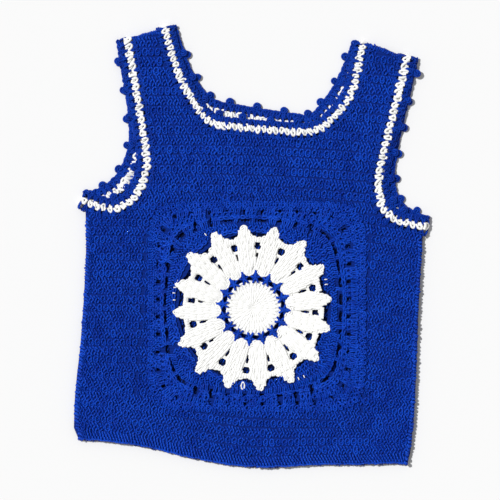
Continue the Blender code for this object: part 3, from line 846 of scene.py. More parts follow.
@dataclass
class Panel:
    """Front or back: rows of half double crochet over its ground."""

    name: str
    facing_down: bool
    seed: int = 5
    # Heights of the rows and level from which they are higher
    low_row: float = 10.3
    yoke_row: float = 11.8
    yoke_level: float = 34.0
    hem_row: float = 13.0
    top_reach: float = 8.0
    # The rows follow the hem's dip up to a height, then tilt
    dip_reach: float = 120.0
    tilt: float = 0.034
    tilt_from: float = 30.0
    tilt_run: float = 60.0
    # Bow of the rows for each metre, and square of the place where it ends, in square metres
    bow: float = 0.18
    bow_end: float = 0.0118
    # Levels of the underarm and the shoulders, and how far the hem and sides are read
    underarm: float = 36.0
    shoulder: float = 215.0
    hem_ends: float = 192.0
    side_start: float = 22.0
    # Small holes at the row starts and beside the lace square
    start_hole: float = 5.7
    square_holes: tuple[float, float] = (-126.0, 141.5)
    square_foot: float = -190.0
    hole_share: tuple[float, float] = (0.5, 0.9)
    hole_shift: float = 1.9
    # Stitches along a row
    edge_margin: float = 3.4
    first_share: float = 0.3
    odd_shift: float = 0.42
    even_share: float = 0.88
    dot_row_share: float = 0.86
    # A stitch reads the cloth at four corners; with some of them off it, it moves in and shrinks
    probe_share: float = 0.42
    off_cloth: tuple[float, float] = (0.75, 0.5)
    near_rim: tuple[float, float] = (0.35, 0.86)
    sunk_front: float = 0.35
    sunk_back: float = 1.9
    # Turns over the rim
    turn_height: float = 9.0
    turn_pitch: float = 5.4
    turn_step: float = 6.0
    shoulder_width: float = 0.62
    below_underarm: float = 4.0
    rim_probe: float = 4.5
    rim_overlap: float = 0.6
    rim_depth: float = 0.5
    inset: float = 0.95

    def __post_init__(self) -> None:
        """Read the panel's node."""
        self.node = NodeShape(self.name)
        self.middle = (self.node.low.z + self.node.high.z) / 2
        self.columns = round((self.side(0, 1) - self.side(0, -1)) / (STITCH_WIDTH * MM))
        places = [x * MM for x in range(-180, 181, 20)]
        self.mean_hem = sum(self.hem(x) for x in places) / len(places)
        self.drift = {"Yarn_Radius": 1.12 * MM, "Turn_Drift": 0.2, "Size_Drift": 0.12}

    def hem(self, x: float) -> float:
        """Height of the hem at a place across."""
        end = self.hem_ends * MM
        start = Vector((min(max(x, -end), end), -FAR_ASIDE, self.middle))
        return self.node.edge(start, Vector((0, 1, 0))).y

    def side(self, y: float, way: float) -> float:
        """Place across of a side edge at a height."""
        level = min(max(y, self.node.low.y + self.side_start * MM), self.underarm * MM)
        start = Vector((FAR_ASIDE * way, level, self.middle))
        return self.node.edge(start, Vector((-way, 0, 0))).x

    def rows(self) -> list[tuple[float, float]]:
        """Middle level and height of every row, from the hem up."""
        found = []
        level = self.mean_hem
        while level < self.node.high.y + self.top_reach * MM:
            height = self.low_row if level < self.yoke_level * MM else self.yoke_row
            if not found:
                height = self.hem_row
            found.append((level + height * MM / 2, height))
            level += height * MM
        return found

    def row_height(self, x: float, level: float) -> float:
        """Height of a row's line at a place across: hem below, a slight arch above."""
        fade = min(max((level - self.mean_hem) / (self.dip_reach * MM), 0.0), 1.0)
        fade = fade * fade * (3 - 2 * fade)
        dip = self.hem(x) - self.mean_hem
        bow = self.bow * (self.bow_end - x * x)
        lift = min(max((level - self.tilt_from * MM) / (self.tilt_run * MM), 0.0), 1.0)
        rise = lift * self.tilt * x
        return level + dip * (1 - fade) + (bow + rise) * fade

    def grid(self, inner: bool = False) -> list[tuple[int, Spot]]:
        """Row number and spot of every stitch that lies on the panel.

        Args:
            inner: Whether the stitches lie on the face that looks into the vest.
        """
        found = []
        for row, (level, height) in enumerate(self.rows()):
            left, right = self.side(level, -1), self.side(level, 1)
            margin = self.edge_margin * MM
            shift = self.odd_shift if row % 2 else 0.0
            line = []
            for k in range(self.columns):
                share = (k + self.first_share + shift) / self.columns
                x = left + margin + (right - left - 2 * margin) * share
                line.append(Vector((x, self.row_height(x, level))))
            for k, spot in enumerate(line):
                narrow = row % 2 == 0 and self.leaves_hole(spot, left)
                heading = line[min(k + 1, self.columns - 1)] - line[max(k - 1, 0)]
                step = heading.length / (2 if 0 < k < self.columns - 1 else 1)
                laid = self.stitch_at(spot, heading.normalized(), step, height, inner)
                if laid and narrow:
                    laid.grow(*self.hole_share)
                    laid.place += laid.along * self.hole_shift * MM
                if laid:
                    found.append((row, laid))
        return found

    def leaves_hole(self, at: Vector, left: float) -> bool:
        """Whether a small hole shows: at the row's start, and beside the lace square.

        Args:
            at: Plan point of the stitch.
            left: Place across of the left side edge.
        """
        if self.facing_down or at.y > self.underarm * MM:
            return False
        if abs(at.x - left - self.start_hole * MM) < STITCH_WIDTH * MM / 2:
            return True
        beside = min(abs(at.x - x * MM) for x in self.square_holes)
        return beside < STITCH_WIDTH * MM / 2 and at.y > self.square_foot * MM

    def stitch_at(
        self, at: Vector, heading: Vector, pitch: float, height: float, inner: bool
    ) -> Spot | None:
        """Spot on the cloth at a plan point, or None off it.

        Args:
            at: Plan point.
            heading: Direction of the row there.
            pitch: Distance to the next stitch, in metres.
            height: Height of the row, in millimetres.
            inner: Whether the stitch lies on the face that looks into the vest.
        """
        down = self.facing_down == inner
        side = Vector((-heading.y, heading.x))
        reach_x, reach_y = self.probe_share * pitch, self.probe_share * height * MM
        corners = [at + heading * reach_x * a + side * reach_y * b for a in (-1, 1) for b in (-1, 1)]
        on_cloth = [c for c in corners if self.node.hit(c.x, c.y, down)]
        needed = len(corners) if at.y > self.shoulder * MM else len(corners) / 2
        if len(on_cloth) < needed:
            return None
        scale = 1.0
        off_cloth = not self.node.hit(at.x, at.y, down)
        if off_cloth or len(on_cloth) < len(corners):
            share, scale = self.off_cloth if off_cloth else self.near_rim
            at = at.lerp(centre_of(on_cloth), share)
        hit = self.node.hit(at.x, at.y, down)
        if hit is None:
            return None
        place, normal = hit
        sunk = self.sunk_front if normal.z > 0 else self.sunk_back
        along = heading.to_3d() * (1.0 if normal.z > 0 else -1.0)
        size = (pitch / (STITCH_WIDTH * MM) * scale, height / ROW_HEIGHT * scale, 1.0)
        return spot_on(place - normal * sunk * MM, along, normal, size)

    def rim_turns(self) -> list[Spot]:
        """Row ends at both sides, and along the shoulders, that turn over the edge."""
        spots = []
        for level, height in self.rows():
            for way in (-1, 1):
                if level > (self.underarm - self.below_underarm) * MM:
                    continue
                edge = self.side(level, way)
                rim = Vector((edge, self.row_height(edge, level)))
                width = height / self.turn_height
                spots.append(self.turn_at(rim, Vector((way, 0.0)), width))
        last = None
        x = self.node.low.x
        while x < self.node.high.x:
            hit = self.node.edge(Vector((x, FAR_ASIDE, self.middle)), Vector((0, -1, 0)))
            here = hit.to_2d() if hit is not None and hit.y > self.shoulder * MM else None
            if here and last and abs(here.y - last.y) < self.turn_step * MM:
                run = here - last
                outward = Vector((-run.y, run.x)).normalized()
                spots.append(self.turn_at((here + last) / 2, outward, self.shoulder_width))
            last = here
            x += self.turn_pitch * MM
        return [s for s in spots if s]

    def turn_at(self, rim: Vector, outward: Vector, width: float) -> Spot | None:
        """Turn at a point of the rim.

        Args:
            rim: Plan point on the edge.
            outward: Plan direction away from the cloth.
            width: Scale along the edge.
        """
        probe = rim - outward * self.rim_probe * MM
        hit = self.node.hit(probe.x, probe.y)
        if hit is None:
            return None
        place = (rim - outward * self.rim_overlap * MM).to_3d()
        place.z = hit[0].z - self.rim_depth * MM
        return spot_on(place, -outward.to_3d(), UP, (1.0, width, 1.0))

    def is_bare(self, place: Vector, covers: list[NodeShape]) -> bool:
        """Whether no other cloth lies over a stitch, nor within a stitch's width of it."""
        reach = STITCH_WIDTH * MM
        around = [(0, 0), (reach, 0), (-reach, 0), (0, reach), (0, -reach)]
        return not any(c.hit(place.x + a, place.y + b) for c in covers for a, b in around)

    def build(self, tree: StitchTree, covers: list[NodeShape] = ()) -> list[bpy.types.Object]:
        """Ground, rows and rim of the panel.

        Args:
            tree: Tree that lays the stitches.
            covers: Nodes that hide the face that looks into the vest.

        Returns:
            The ground first, then the yarn on it.
        """
        spots = self.grid()
        if self.facing_down:
            # The back's ground is painted in shade.
            pieces = [ground(self.node, SHADED_BACK_GROUND)]
            bare = [s for _, s in self.grid(inner=True) if self.is_bare(s.place, covers)]
            layers = {
                "rows": [(Kind.UNDER, [s for _, s in spots], 4)],
                "inner_rows": [(Kind.BEAD, bare, 5)],
            }
        else:
            pieces = [ground(self.node, BLUE_GROUND, self.inset)]
            draw = random.Random(self.seed)
            mixed: dict[bool, list[Spot]] = {True: [], False: []}
            for row, spot in spots:
                if row % 2 == 0:
                    spot.grow(1.0, self.dot_row_share)
                if row:
                    mixed[(row % 2 == 1) == (draw.random() < self.even_share)].append(spot)
            hem = [s for row, s in spots if row == 0]
            layers = {
                "post_rows": [(Kind.POST, mixed[True], 5), (Kind.HEM, hem, 6)],
                "bead_rows": [(Kind.BEAD, mixed[False], 5), (Kind.TURN, self.rim_turns(), 6)],
            }
        for label, kinds in layers.items():
            meshes = [
                tree.lay(kind, laid, BLUE, self.seed + k, Sides=sides, **self.drift)
                for k, (kind, laid, sides) in enumerate(kinds)
            ]
            pieces.append(yarn_piece(f"{self.name}_{label}", meshes, BLUE.slot))
        return pieces


@dataclass(frozen=True)
class Course:
    """One course of stitches along a band.

    The offset from the white round's middle towards the opening and the rise from the cloth's
    face are in millimetres, and the phase is the share of a pitch before the first stitch. The
    roll tips the stitches over towards the opening, the tuck draws in those of the front layer,
    and an inner course lies on the face of the back that looks into the vest.
    """

    offset: float
    rise: float
    phase: float = 0.5
    roll: float = 0.0
    tuck: float = 0.0
    inner: bool = False


@dataclass
class BandLine:
    """Middle line of an opening's white round, read from its node, folds and all."""

    LEVEL_OUT = 0.99
    DOWNWARD = -0.5

    node: str
    fold_steps: int = 6
    fold_reach: float = 4.0
    step: float = 0.1
    easings: int = 3
    floor_gap: float = 2.5
    tuck_share: float = 0.1

    def __post_init__(self) -> None:
        """Join the front stretch, the two folds and the back stretch into one loop."""
        trim = NodeShape(self.node)
        front = trim.midline(True)
        back = trim.midline(False)
        if (back[0] - front[-1]).to_2d().length > (back[-1] - front[-1]).to_2d().length:
            back.reverse()
        self.mid = (trim.high.z + trim.low.z) / 2
        self.radius = trim.high.z - self.mid
        face = max(v.co.z for v in trim.shape.verts if v.co.z < self.mid - self.step * MM)
        self.inner = [(Vector((p.x, p.y, face)), UP) for p in self.eased(back)]
        self.loop = (
            [(p, UP) for p in self.eased(front)]
            + self.fold(front[-1], front[-1] - front[-3])
            + [(p, -UP) for p in self.eased(back)]
            + self.fold(front[0], front[0] - front[2], rising=True)
        )

    def eased(self, line: list[Vector]) -> list[Vector]:
        """Line with the small steps of its strip evened out."""
        for _ in range(self.easings):
            inside = [(a + b * 2 + c) / 4 for a, b, c in zip(line, line[1:], line[2:])]
            line = [line[0], *inside, line[-1]]
        return line

    def fold(self, end: Vector, way: Vector, rising: bool = False) -> list[tuple[Vector, Vector]]:
        """Stations round one fold, from one layer to the other."""
        way = Vector((way.x, way.y, 0.0)).normalized()
        centre = Vector((end.x, end.y, self.mid)) + way * self.fold_reach * MM
        stations = []
        for k in range(1, self.fold_steps):
            angle = math.pi * k / self.fold_steps
            if rising:
                angle = math.pi - angle
            out = way * math.sin(angle) + UP * math.cos(angle)
            stations.append((centre + out * self.radius, out))
        return stations

    def spots(
        self,
        course: Course,
        pitch: float,
        mouth: Vector,
        tuck: float = 0.0,
        size: tuple[float, float, float] = (1.0, 1.0, 1.0),
    ) -> list[Spot]:
        """Even spots along the loop.

        Args:
            course: Where the stitches lie across the band.
            pitch: Distance between stitches, in millimetres.
            mouth: Plan point inside the opening, which tells the side.
            tuck: How far the opening's front layer is drawn in, in millimetres.
            size: Scale of the stitch along, across and out.
        """
        inner = course.inner
        stations = self.inner if inner else self.loop
        points = [p for p, _ in stations]
        outs = [o for _, o in stations]
        total = len(points)
        sign = 0.0
        found = []
        for index, share in walk(points, pitch * MM, not inner, course.phase):
            after = (index + 1) % total
            place = points[index].lerp(points[after], share)
            if inner:
                heading = points[min(index + 2, total - 1)] - points[max(index - 1, 0)]
            else:
                heading = points[(index + 2) % total] - points[index - 1]
            out = outs[index].lerp(outs[after], share).normalized()
            spot = spot_on(place, heading, out)
            if not sign:
                sign = 1.0 if spot.across.to_2d().dot(mouth - place.to_2d()) > 0 else -1.0
            if sign < 0:
                spot = spot_on(place, -heading, out)
            drawn_in = 0.0 if inner else tuck * course.tuck * max(out.z, 0.0)
            offset = course.offset - drawn_in
            spot.place = place + spot.across * offset * MM + out * course.rise * MM
            if course.roll:
                spot = spot_on(spot.place, spot.along, out + spot.across * course.roll)
            if out.z < self.DOWNWARD:
                spot.place.z = max(spot.place.z, self.floor_gap * MM)
            spot.size = size
            spot.grow(1.0, 1.0 - self.tuck_share * drawn_in)
            found.append(spot)
        return found


@dataclass
class Opening:
    """White round and blue picot round of one opening."""

    LOOPS = Course(0.3, 0.1)
    INNER_LOOPS = Course(-0.4, -0.3, inner=True)
    EDGES = Course(8.2, -0.5, 0.0, 0.22, 0.5)
    INNER_EDGES = Course(8.2, -0.7, 0.0, 0.22, inner=True)
    CHAINS = Course(11.8, -1.7, 0.3, 0.45, 1.0)
    INNER_CHAINS = Course(11.8, -1.7, 0.3, 0.3, inner=True)
    FEET = Course(-6.2, 0.1, 0.0)

    name: str
    mouth: tuple[float, float]
    seed: int
    pitch: float = 8.1
    tuck: float = 1.0
    # Picots begin this far beyond the chains
    picot_reach: float = 3.0
    # Picots: greatest width of one, its middle from its tip, and its stitch's size
    picot_width: float = 10.5
    picot_middle: float = 3.6
    picot_size: tuple[float, float, float] = (0.84, 0.84, 1.1)
    loop_size: tuple[float, float] = (1.04, 0.92)
    trim_inset: float = 1.1
    edging_inset: float = 0.9

    def picots(self, edging: NodeShape, line: BandLine) -> list[Spot]:
        """Spots of the picots, read from the knobs of the edging's node.

        Args:
            edging: Node of the picot round.
            line: Middle of the white round.
        """
        reach = (self.CHAINS.offset + self.picot_reach) * MM
        flat = [(p, o) for p, o in line.loop if abs(o.z) > line.LEVEL_OUT]
        layers = {up: [p for p, o in flat if (o.z > 0) == up] for up in (True, False)}
        knobs: list[list[Vector]] = []
        for vert in edging.shape.verts:
            up = vert.co.z > line.mid
            if min((vert.co - p).to_2d().length for p in layers[up]) < reach:
                continue
            for knob in knobs:
                same = (knob[0].z > line.mid) == up
                if same and (knob[0] - vert.co).to_2d().length < self.picot_width * MM:
                    knob.append(vert.co)
                    break
            else:
                knobs.append([vert.co])
        found = []
        for knob in knobs:
            tip = sum(knob, Vector()) / len(knob)
            up = tip.z > line.mid
            near = min(layers[up], key=lambda p: (p - tip).to_2d().length)
            outward = (tip - near).to_2d().normalized().to_3d()
            middle = (edging.high.z - line.mid) * 0.5 * (1 if up else -1) + line.mid
            place = Vector((tip.x, tip.y, middle)) - outward * self.picot_middle * MM
            found.append(spot_on(place, outward.cross(UP), UP, self.picot_size))
        return found

    def build(self, tree: StitchTree) -> None:
        """Grounds and yarn of both rounds.

        Args:
            tree: Tree that lays the stitches.
        """
        trim = NodeShape(self.name + "_trim")
        edging = NodeShape(self.name + "_edging")
        line = BandLine(self.name + "_trim")
        mouth = Vector(self.mouth) * MM
        along, across = self.loop_size
        size = (along * self.pitch / STITCH_WIDTH, across, 1.0)
        loops, inner_loops = (
            line.spots(course, self.pitch, mouth, size=size)
            for course in (self.LOOPS, self.INNER_LOOPS)
        )
        edges, chains, feet = (
            [s for course in courses for s in line.spots(course, self.pitch, mouth, self.tuck)]
            for courses in (
                (self.EDGES, self.INNER_EDGES),
                (self.CHAINS, self.INNER_CHAINS),
                (self.FEET,),
            )
        )
        rounds = {
            "white_loops": (
                # stitch, spots, finish, step of the seed, sides, drift of turn and of size
                (Kind.LOOP, loops[0::3] + loops[1::3] + inner_loops[1::2], WHITE, 0, 6, 0.3, 0.18),
                (Kind.KNOT, loops[2::3] + inner_loops[0::2], WHITE, 1, 6, 0.3, 0.18),
            ),
            # The edging yarn carries painted shade.
            "blue_stitches": (
                (Kind.EDGE, edges, SHADED_EDGE_BLUE, 0, 5, 0.2, 0.14),
                (Kind.CHAIN, chains, SHADED_EDGE_BLUE, 1, 5, 0.3, 0.18),
                (Kind.FOOT, feet, SHADED_EDGE_BLUE, 3, 5, 0.2, 0.12),
                (Kind.PICOT, self.picots(edging, line), SHADED_EDGE_BLUE, 2, 6, 0.24, 0.1),
            ),
        }
        grounds = {
            "white_loops": (trim, WHITE_GROUND, self.trim_inset),
            "blue_stitches": (edging, BLUE_GROUND, self.edging_inset),
        }
        for label, stitches in rounds.items():
            ground(*grounds[label])
            meshes = [
                tree.lay(kind, spots, finish, self.seed + step, Sides=n, Turn_Drift=a, Size_Drift=b)
                for kind, spots, finish, step, n, a, b in stitches
            ]
            yarn_piece(f"{self.name}_{label}", meshes, stitches[0][2].slot)


@dataclass
class Lace:
    """Blue open square round the flower: rounds of trebles between its holes."""

    rounds: tuple[tuple[float, float, float, Kind], ...] = (
        # share of the way out to the rim, height as a share of that way, pitch, stitch
        (0.04, 0.0, 6.8, Kind.CHAIN),
        (0.19, 0.26, 6.4, Kind.POST),
        (0.425, 0.22, 5.2, Kind.TREBLE),
        (0.53, 0.0, 6.6, Kind.CHAIN),
        (0.645, 0.20, 6.8, Kind.BEAD),
        (0.79, 0.17, 5.2, Kind.TREBLE),
        (0.905, 0.15, 6.8, Kind.POST),
    )
    least_height: float = 6.6
    most_height: float = 11.5
    chain_height: float = 3.0
    stitch_size: tuple[float, float] = (7.0, 9.2)
    sunk: float = 0.2
    most_dip: float = 1.0
    # Where a stitch reads the cloth, in shares of its pitch and of its height
    probes: tuple[tuple[float, float], ...] = (
        (0, 0),
        (0, 0.34),
        (0, -0.34),
        (0.36, 0),
        (-0.36, 0),
    )
    seam_pitch: float = 6.6
    seam_sunk: float = 0.35
    seam_size: tuple[float, float, float] = (0.86, 0.8, 1.0)
    line_steps: int = 180
    seed: int = 31

    def build(self, tree: StitchTree) -> list[bpy.types.Object]:
        """Ground and trebles of the lace."""
        self.node = NodeShape("motif_lace")
        cloth = ground(self.node, BLUE_GROUND)
        rings = self.node.loops()
        rim, inner = sorted(rings[:2], key=extent, reverse=True)
        self.middle = centre_of(inner)
        near = sorted((p - self.middle).length for p in inner)[len(inner) // 3]
        laid: dict[Kind, list[Spot]] = {}
        for share, tall, pitch, kind in self.rounds:
            line = []
            for k in range(self.line_steps):
                angle = math.tau * k / self.line_steps
                way = Vector((math.cos(angle), math.sin(angle)))
                far = reach_of(rim, self.middle, way)
                line.append(self.middle + way * (near + (far - near) * share))
            for place, heading in spread(line, pitch * MM):
                outward = (place - self.middle).normalized()
                room = (reach_of(rim, self.middle, outward) - near) * tall
                count = max(1, math.ceil(room / (self.most_height * MM)))
                for k in range(count):
                    at = place + outward * room * ((k + 0.5) / count - 0.5)
                    spot = self.stitch_at(at, heading, outward, room / count, pitch)
                    if spot:
                        laid.setdefault(kind, []).append(spot)
        seam = max(self.node.high.z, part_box("front")[1].z) - self.seam_sunk * MM
        for place, heading in spread(rim, self.seam_pitch * MM):
            over = Vector((place.x, place.y, seam))
            laid.setdefault(Kind.BEAD, []).append(
                spot_on(over, heading.to_3d(), UP, self.seam_size)
            )
        meshes = [
            tree.lay(kind, spots, BLUE, self.seed + k, Turn_Drift=0.24, Size_Drift=0.15, Sides=5)
            for k, (kind, spots) in enumerate(laid.items())
        ]
        return [cloth, yarn_piece("motif_lace_trebles", meshes, BLUE.slot)]

    def stitch_at(
        self, at: Vector, heading: Vector, outward: Vector, room: float, pitch: float
    ) -> Spot | None:
        """Stitch on the lace, or None where a hole is.

        Args:
            at: Plan point.
            heading: Direction of the round.
            outward: Direction from the flower's middle.
            room: Height that the round has there, in metres, or nought for a chain.
            pitch: Distance between stitches, in millimetres.
        """
        height = max(room, self.least_height * MM) if room else self.chain_height * MM
        along = heading.to_3d()
        if UP.cross(along).to_2d().dot(outward) < 0:
            along = -along
        side = UP.cross(along).to_2d()
        for a, b in self.probes:
            probe = at + along.to_2d() * a * pitch * MM + side * b * height
            there = self.node.hit(probe.x, probe.y)
            if there is None or there[0].z < self.node.high.z - self.most_dip * MM:
                return None
        width, tall = self.stitch_size
        size = (pitch / width, height / (tall * MM) if room else 1.0, 1.0)
        return spot_on(Vector((at.x, at.y, self.node.high.z - self.sunk * MM)), along, UP, size)


def extent(ring: list[Vector]) -> float:
    """Greatest distance of a ring's points from its own mean point."""
    middle = centre_of(ring)
    return max((p - middle).length for p in ring)


def reach_of(ring: list[Vector], middle: Vector, way: Vector) -> float:
    """Distance from a middle to a ring along a direction."""
    best = 0.0
    for a, b in zip(ring, ring[1:] + ring[:1]):
        p, q = a - middle, b - middle
        side_p = way.x * p.y - way.y * p.x
        side_q = way.x * q.y - way.y * q.x
        if side_p * side_q <= 0 and abs(side_p - side_q) > PARALLEL:
            cross = p.lerp(q, side_p / (side_p - side_q))
            best = max(best, cross.dot(way))
    return best


@dataclass
class Flower:
    """White disc, blue ring of stars and sixteen white petals."""

    seed: int = 51
    disc_rounds: tuple[tuple[float, int, float], ...] = (
        # radius of the round's middle, stitches, stitch height
        (7.9, 12, 0.86),
        (14.6, 18, 0.85),
        (22.0, 24, 0.85),
    )
    disc_sunk: float = 1.3
    disc_inset: float = 0.45
    bumps: int = 20
    bump_radius: float = 28.0
    bump_size: tuple[float, float, float] = (1.24, 0.92, 1.0)
    strand_pair: float = 4.4
    # Radii of the yarn
    petal_yarn: float = 1.6
    bump_yarn: float = 1.45
    star_yarn: float = 1.65
    rim_yarn: float = 1.5
    star_radius: float = 37.0
    star_rise: float = 0.3
    # Petals: least radius of a tip, the usual one, and the stretch of stitches out to the real one
    least_tip: float = 91.0
    petal_tip: float = 98.4
    stretch_from: float = 60.0
    stretch_run: float = 38.0
    petal_sunk: float = 1.15
    petal_inset: float = 0.8
    petal_rows: tuple[tuple[float, float, int, float], ...] = (
        # radius, half width there, stitches, stitch height
        (46.2, 7.2, 4, 0.95),
        (54.5, 9.7, 5, 1.0),
        (63.5, 9.9, 5, 1.0),
        (72.5, 9.4, 5, 1.0),
        (80.6, 11.6, 6, 0.85),
        (88.2, 6.4, 4, 0.95),
        (94.2, 3.0, 2, 0.85),
    )
    # Stitches across a petal: stagger, share of the half width, splay, half length, spacing
    stagger: float = 1.1
    fill_share: float = 0.8
    splay: float = 0.08
    half_length: float = 2.6
    spacing: float = 4.0
    bridge_radius: float = 82.0
    bridge_offsets: tuple[float, ...] = (-4.4, -1.4, 1.5, 4.5)
    bridge_size: tuple[float, float, float] = (0.9, 0.5, 1.0)
    rim_inset: float = 1.1
    rim_pitch: float = 5.6
    rim_sunk: float = 0.3
    rim_size: tuple[float, float] = (0.86, 0.9)
    loose_rise: float = 1.5
    loose_loop: tuple[float, float, float] = (-0.9, -164.2, 0.15)
    specks: tuple[tuple[float, float, float], ...] = (
        # across, height, turn in degrees
        (-58.5, 14.0, -48.0),
        (-90.6, -52.0, 5.0),
        (-91.3, -58.7, 2.0),
        (-90.7, -67.1, 6.0),
        (89.3, -29.8, 8.0),
        (90.2, -35.7, 14.0),
        (71.3, -147.7, -56.0),
        (64.9, -150.6, -62.0),
    )

    def __post_init__(self) -> None:
        """Read the flower's middle and its petals' directions from the nodes."""
        self.disc = NodeShape("flower_centre")
        self.ring = NodeShape("flower_ring")
        self.petals = NodeShape("flower_petals")
        edge = self.disc.loops()[0]
        self.middle = centre_of(edge)
        peak = max(edge, key=lambda p: (p - self.middle).length)
        self.bump_start = math.atan2(*(peak - self.middle).yx)
        self.rings = sorted(self.petals.loops(), key=extent, reverse=True)
        outline = [point - self.middle for point in self.rings[0]]
        reach = [point.length for point in outline]
        after = reach[1:] + reach[:1]
        before = reach[-1:] + reach[:-1]
        self.tips = [
            point
            for point, far, last, following in zip(outline, reach, before, after)
            if far > self.least_tip * MM and far >= max(last, following)
        ]
        self.tips.sort(key=lambda p: math.atan2(p.y, p.x))
        self.top = self.petals.high.z

    def radial(self, radius: float, angle: float, level: float, size: tuple) -> Spot:
        """Spot that points outwards from the flower's middle.

        Args:
            radius: Distance from the middle, in metres.
            angle: Direction.
            level: Height.
            size: Scale of the stitch.
        """
        way = Vector((math.cos(angle), math.sin(angle), 0.0))
        place = self.middle.to_3d() + way * radius + UP * level
        return spot_on(place, way.cross(UP), UP, size)

    def rim(self, ring: list[Vector], inset: float, pitch: float, level: float) -> list[Spot]:
        """Chain just inside, or outside, an edge.

        Args:
            ring: Closed plan line.
            inset: Distance towards the cloth, in millimetres.
            pitch: Distance between stitches, in millimetres.
            level: Height, in metres.
        """
        spots = []
        for place, heading in spread(ring, pitch * MM):
            side = Vector((-heading.y, heading.x))
            outward = place - self.middle
            if side.dot(outward) > 0:
                side = -side
            at = place + side * inset * MM
            size = (pitch / STITCH_WIDTH, *self.rim_size)
            spots.append(spot_on(Vector((at.x, at.y, level)), heading.to_3d(), UP, size))
        return spots

    def build_disc(self, tree: StitchTree) -> list[bpy.types.Object]:
        """Rounds of white stitches about a small eye, and a bumpy rim."""
        spots = []
        level = self.top - self.disc_sunk * MM
        for radius, count, height in self.disc_rounds:
            width = math.tau * radius / count / self.strand_pair
            for k in range(count):
                angle = math.tau * (k + 0.5) / count
                spots.append(self.radial(radius * MM, angle, level, (width, height, 1.0)))
        bumps = []
        for k in range(self.bumps):
            angle = self.bump_start + math.tau * k / self.bumps
            bumps.append(self.radial(self.bump_radius * MM, angle, level, self.bump_size))
        meshes = [
            tree.lay(Kind.PETAL, spots, WHITE, self.seed, Yarn_Radius=self.petal_yarn * MM),
            tree.lay(Kind.KNOT, bumps, WHITE, self.seed + 7, Yarn_Radius=self.bump_yarn * MM),
        ]
        yarn = yarn_piece("flower_centre_rounds", meshes, WHITE.slot)
        return [ground(self.disc, WHITE_GROUND, self.disc_inset), yarn]

    def build_ring(self, tree: StitchTree) -> list[bpy.types.Object]:
        """Sixteen blue stars, one in each notch between petals."""
        spots = []
        level = self.ring.high.z + self.star_rise * MM
        for valley in self.valleys():
            angle = math.atan2(valley.y, valley.x)
            spots.append(self.radial(self.star_radius * MM, angle, level, (1, 1, 1)))
        mesh = tree.lay(Kind.STAR, spots, BLUE, self.seed + 1, Yarn_Radius=self.star_yarn * MM)
        yarn = yarn_piece("flower_ring_stars", [mesh], BLUE.slot)
        return [ground(self.ring, BLUE_GROUND), yarn]

    def valleys(self) -> list[Vector]:
        """Directions between each petal and the next."""
        ways = [tip.normalized() for tip in self.tips]
        return [(way + after).normalized() for way, after in zip(ways, ways[1:] + ways[:1])]

    def petal_spots(self, number: int, tip: Vector, level: float) -> list[Spot]:
        """Stitches of one petal that lie on its cloth.

        Args:
            number: Petal, counted round the flower.
            tip: From the flower's middle to the petal's tip.
            level: Height.
        """
        spots = []
        way = tip.normalized()
        side = Vector((way.y, -way.x))
        stretch = (tip.length / MM - self.petal_tip) / self.stretch_run
        for radius, half, count, height in self.petal_rows:
            grown = radius + stretch * max(0.0, radius - self.stretch_from)
            for k in range(count):
                share = (k - (count - 1) / 2) / max(count - 1, 1) * 2
                along = grown + (-1) ** (k + number) * self.stagger
                at = way * along * MM + side * share * half * self.fill_share * MM
                heading = (way + side * share * self.splay).normalized()
                width = half * 2 / count / self.spacing
                ends = (-self.half_length, 0.0, self.half_length)
                places = [self.middle + at + heading * end * MM for end in ends]
                if all(self.petals.hit(*place) for place in places):
                    place = (self.middle + at).to_3d() + UP * level
                    size = (width, height, 1.0)
                    spots.append(spot_on(place, heading.to_3d().cross(UP), UP, size))
        return spots

    def build_petals(self, tree: StitchTree) -> list[bpy.types.Object]:
        """Stitches that narrow to each tip, bridges between petals, and a rim of small chains."""
        spots = []
        level = self.top - self.petal_sunk * MM
        for number, (tip, valley) in enumerate(zip(self.tips, self.valleys())):
            spots += self.petal_spots(number, tip, level)
            for offset in self.bridge_offsets:
                at = valley * self.bridge_radius * MM + Vector((valley.y, -valley.x)) * offset * MM
                place = (self.middle + at).to_3d() + UP * level
                spots.append(spot_on(place, valley.to_3d().cross(UP), UP, self.bridge_size))
        below = level - self.rim_sunk * MM
        chains = self.rim(self.rings[0], self.rim_inset, self.rim_pitch, below)
        chains += self.rim(self.rings[1], -self.rim_inset, self.rim_pitch, below)
        loose = self.ring.high.z + self.loose_rise * MM
        specks = [loose_end(x, y, math.radians(turn), loose) for x, y, turn in self.specks]
        meshes = [
            tree.lay(Kind.PETAL, spots, WHITE, self.seed + 2, Yarn_Radius=self.petal_yarn * MM),
            tree.lay(
                Kind.CHAIN, chains, WHITE, self.seed + 3, Sides=5, Yarn_Radius=self.rim_yarn * MM
            ),
            tree.lay(Kind.LOOSE, [loose_end(*self.loose_loop, level)], WHITE, self.seed + 4),
            tree.lay(Kind.SPECK, specks, WHITE, self.seed + 5),
        ]
        yarn = yarn_piece("flower_petal_stitches", meshes, WHITE.slot)
        return [ground(self.petals, WHITE_GROUND, self.petal_inset), yarn]


def loose_end(across: float, up: float, turn: float, level: float) -> Spot:
    """Spot of a stray end of yarn.

    Args:
        across: Place across, in millimetres.
        up: Place up the vest, in millimetres.
        turn: Direction of the yarn.
        level: Height, in metres.
    """
    heading = Vector((math.cos(turn), math.sin(turn), 0.0))
    return spot_on(Vector((across * MM, up * MM, level)), heading, UP)


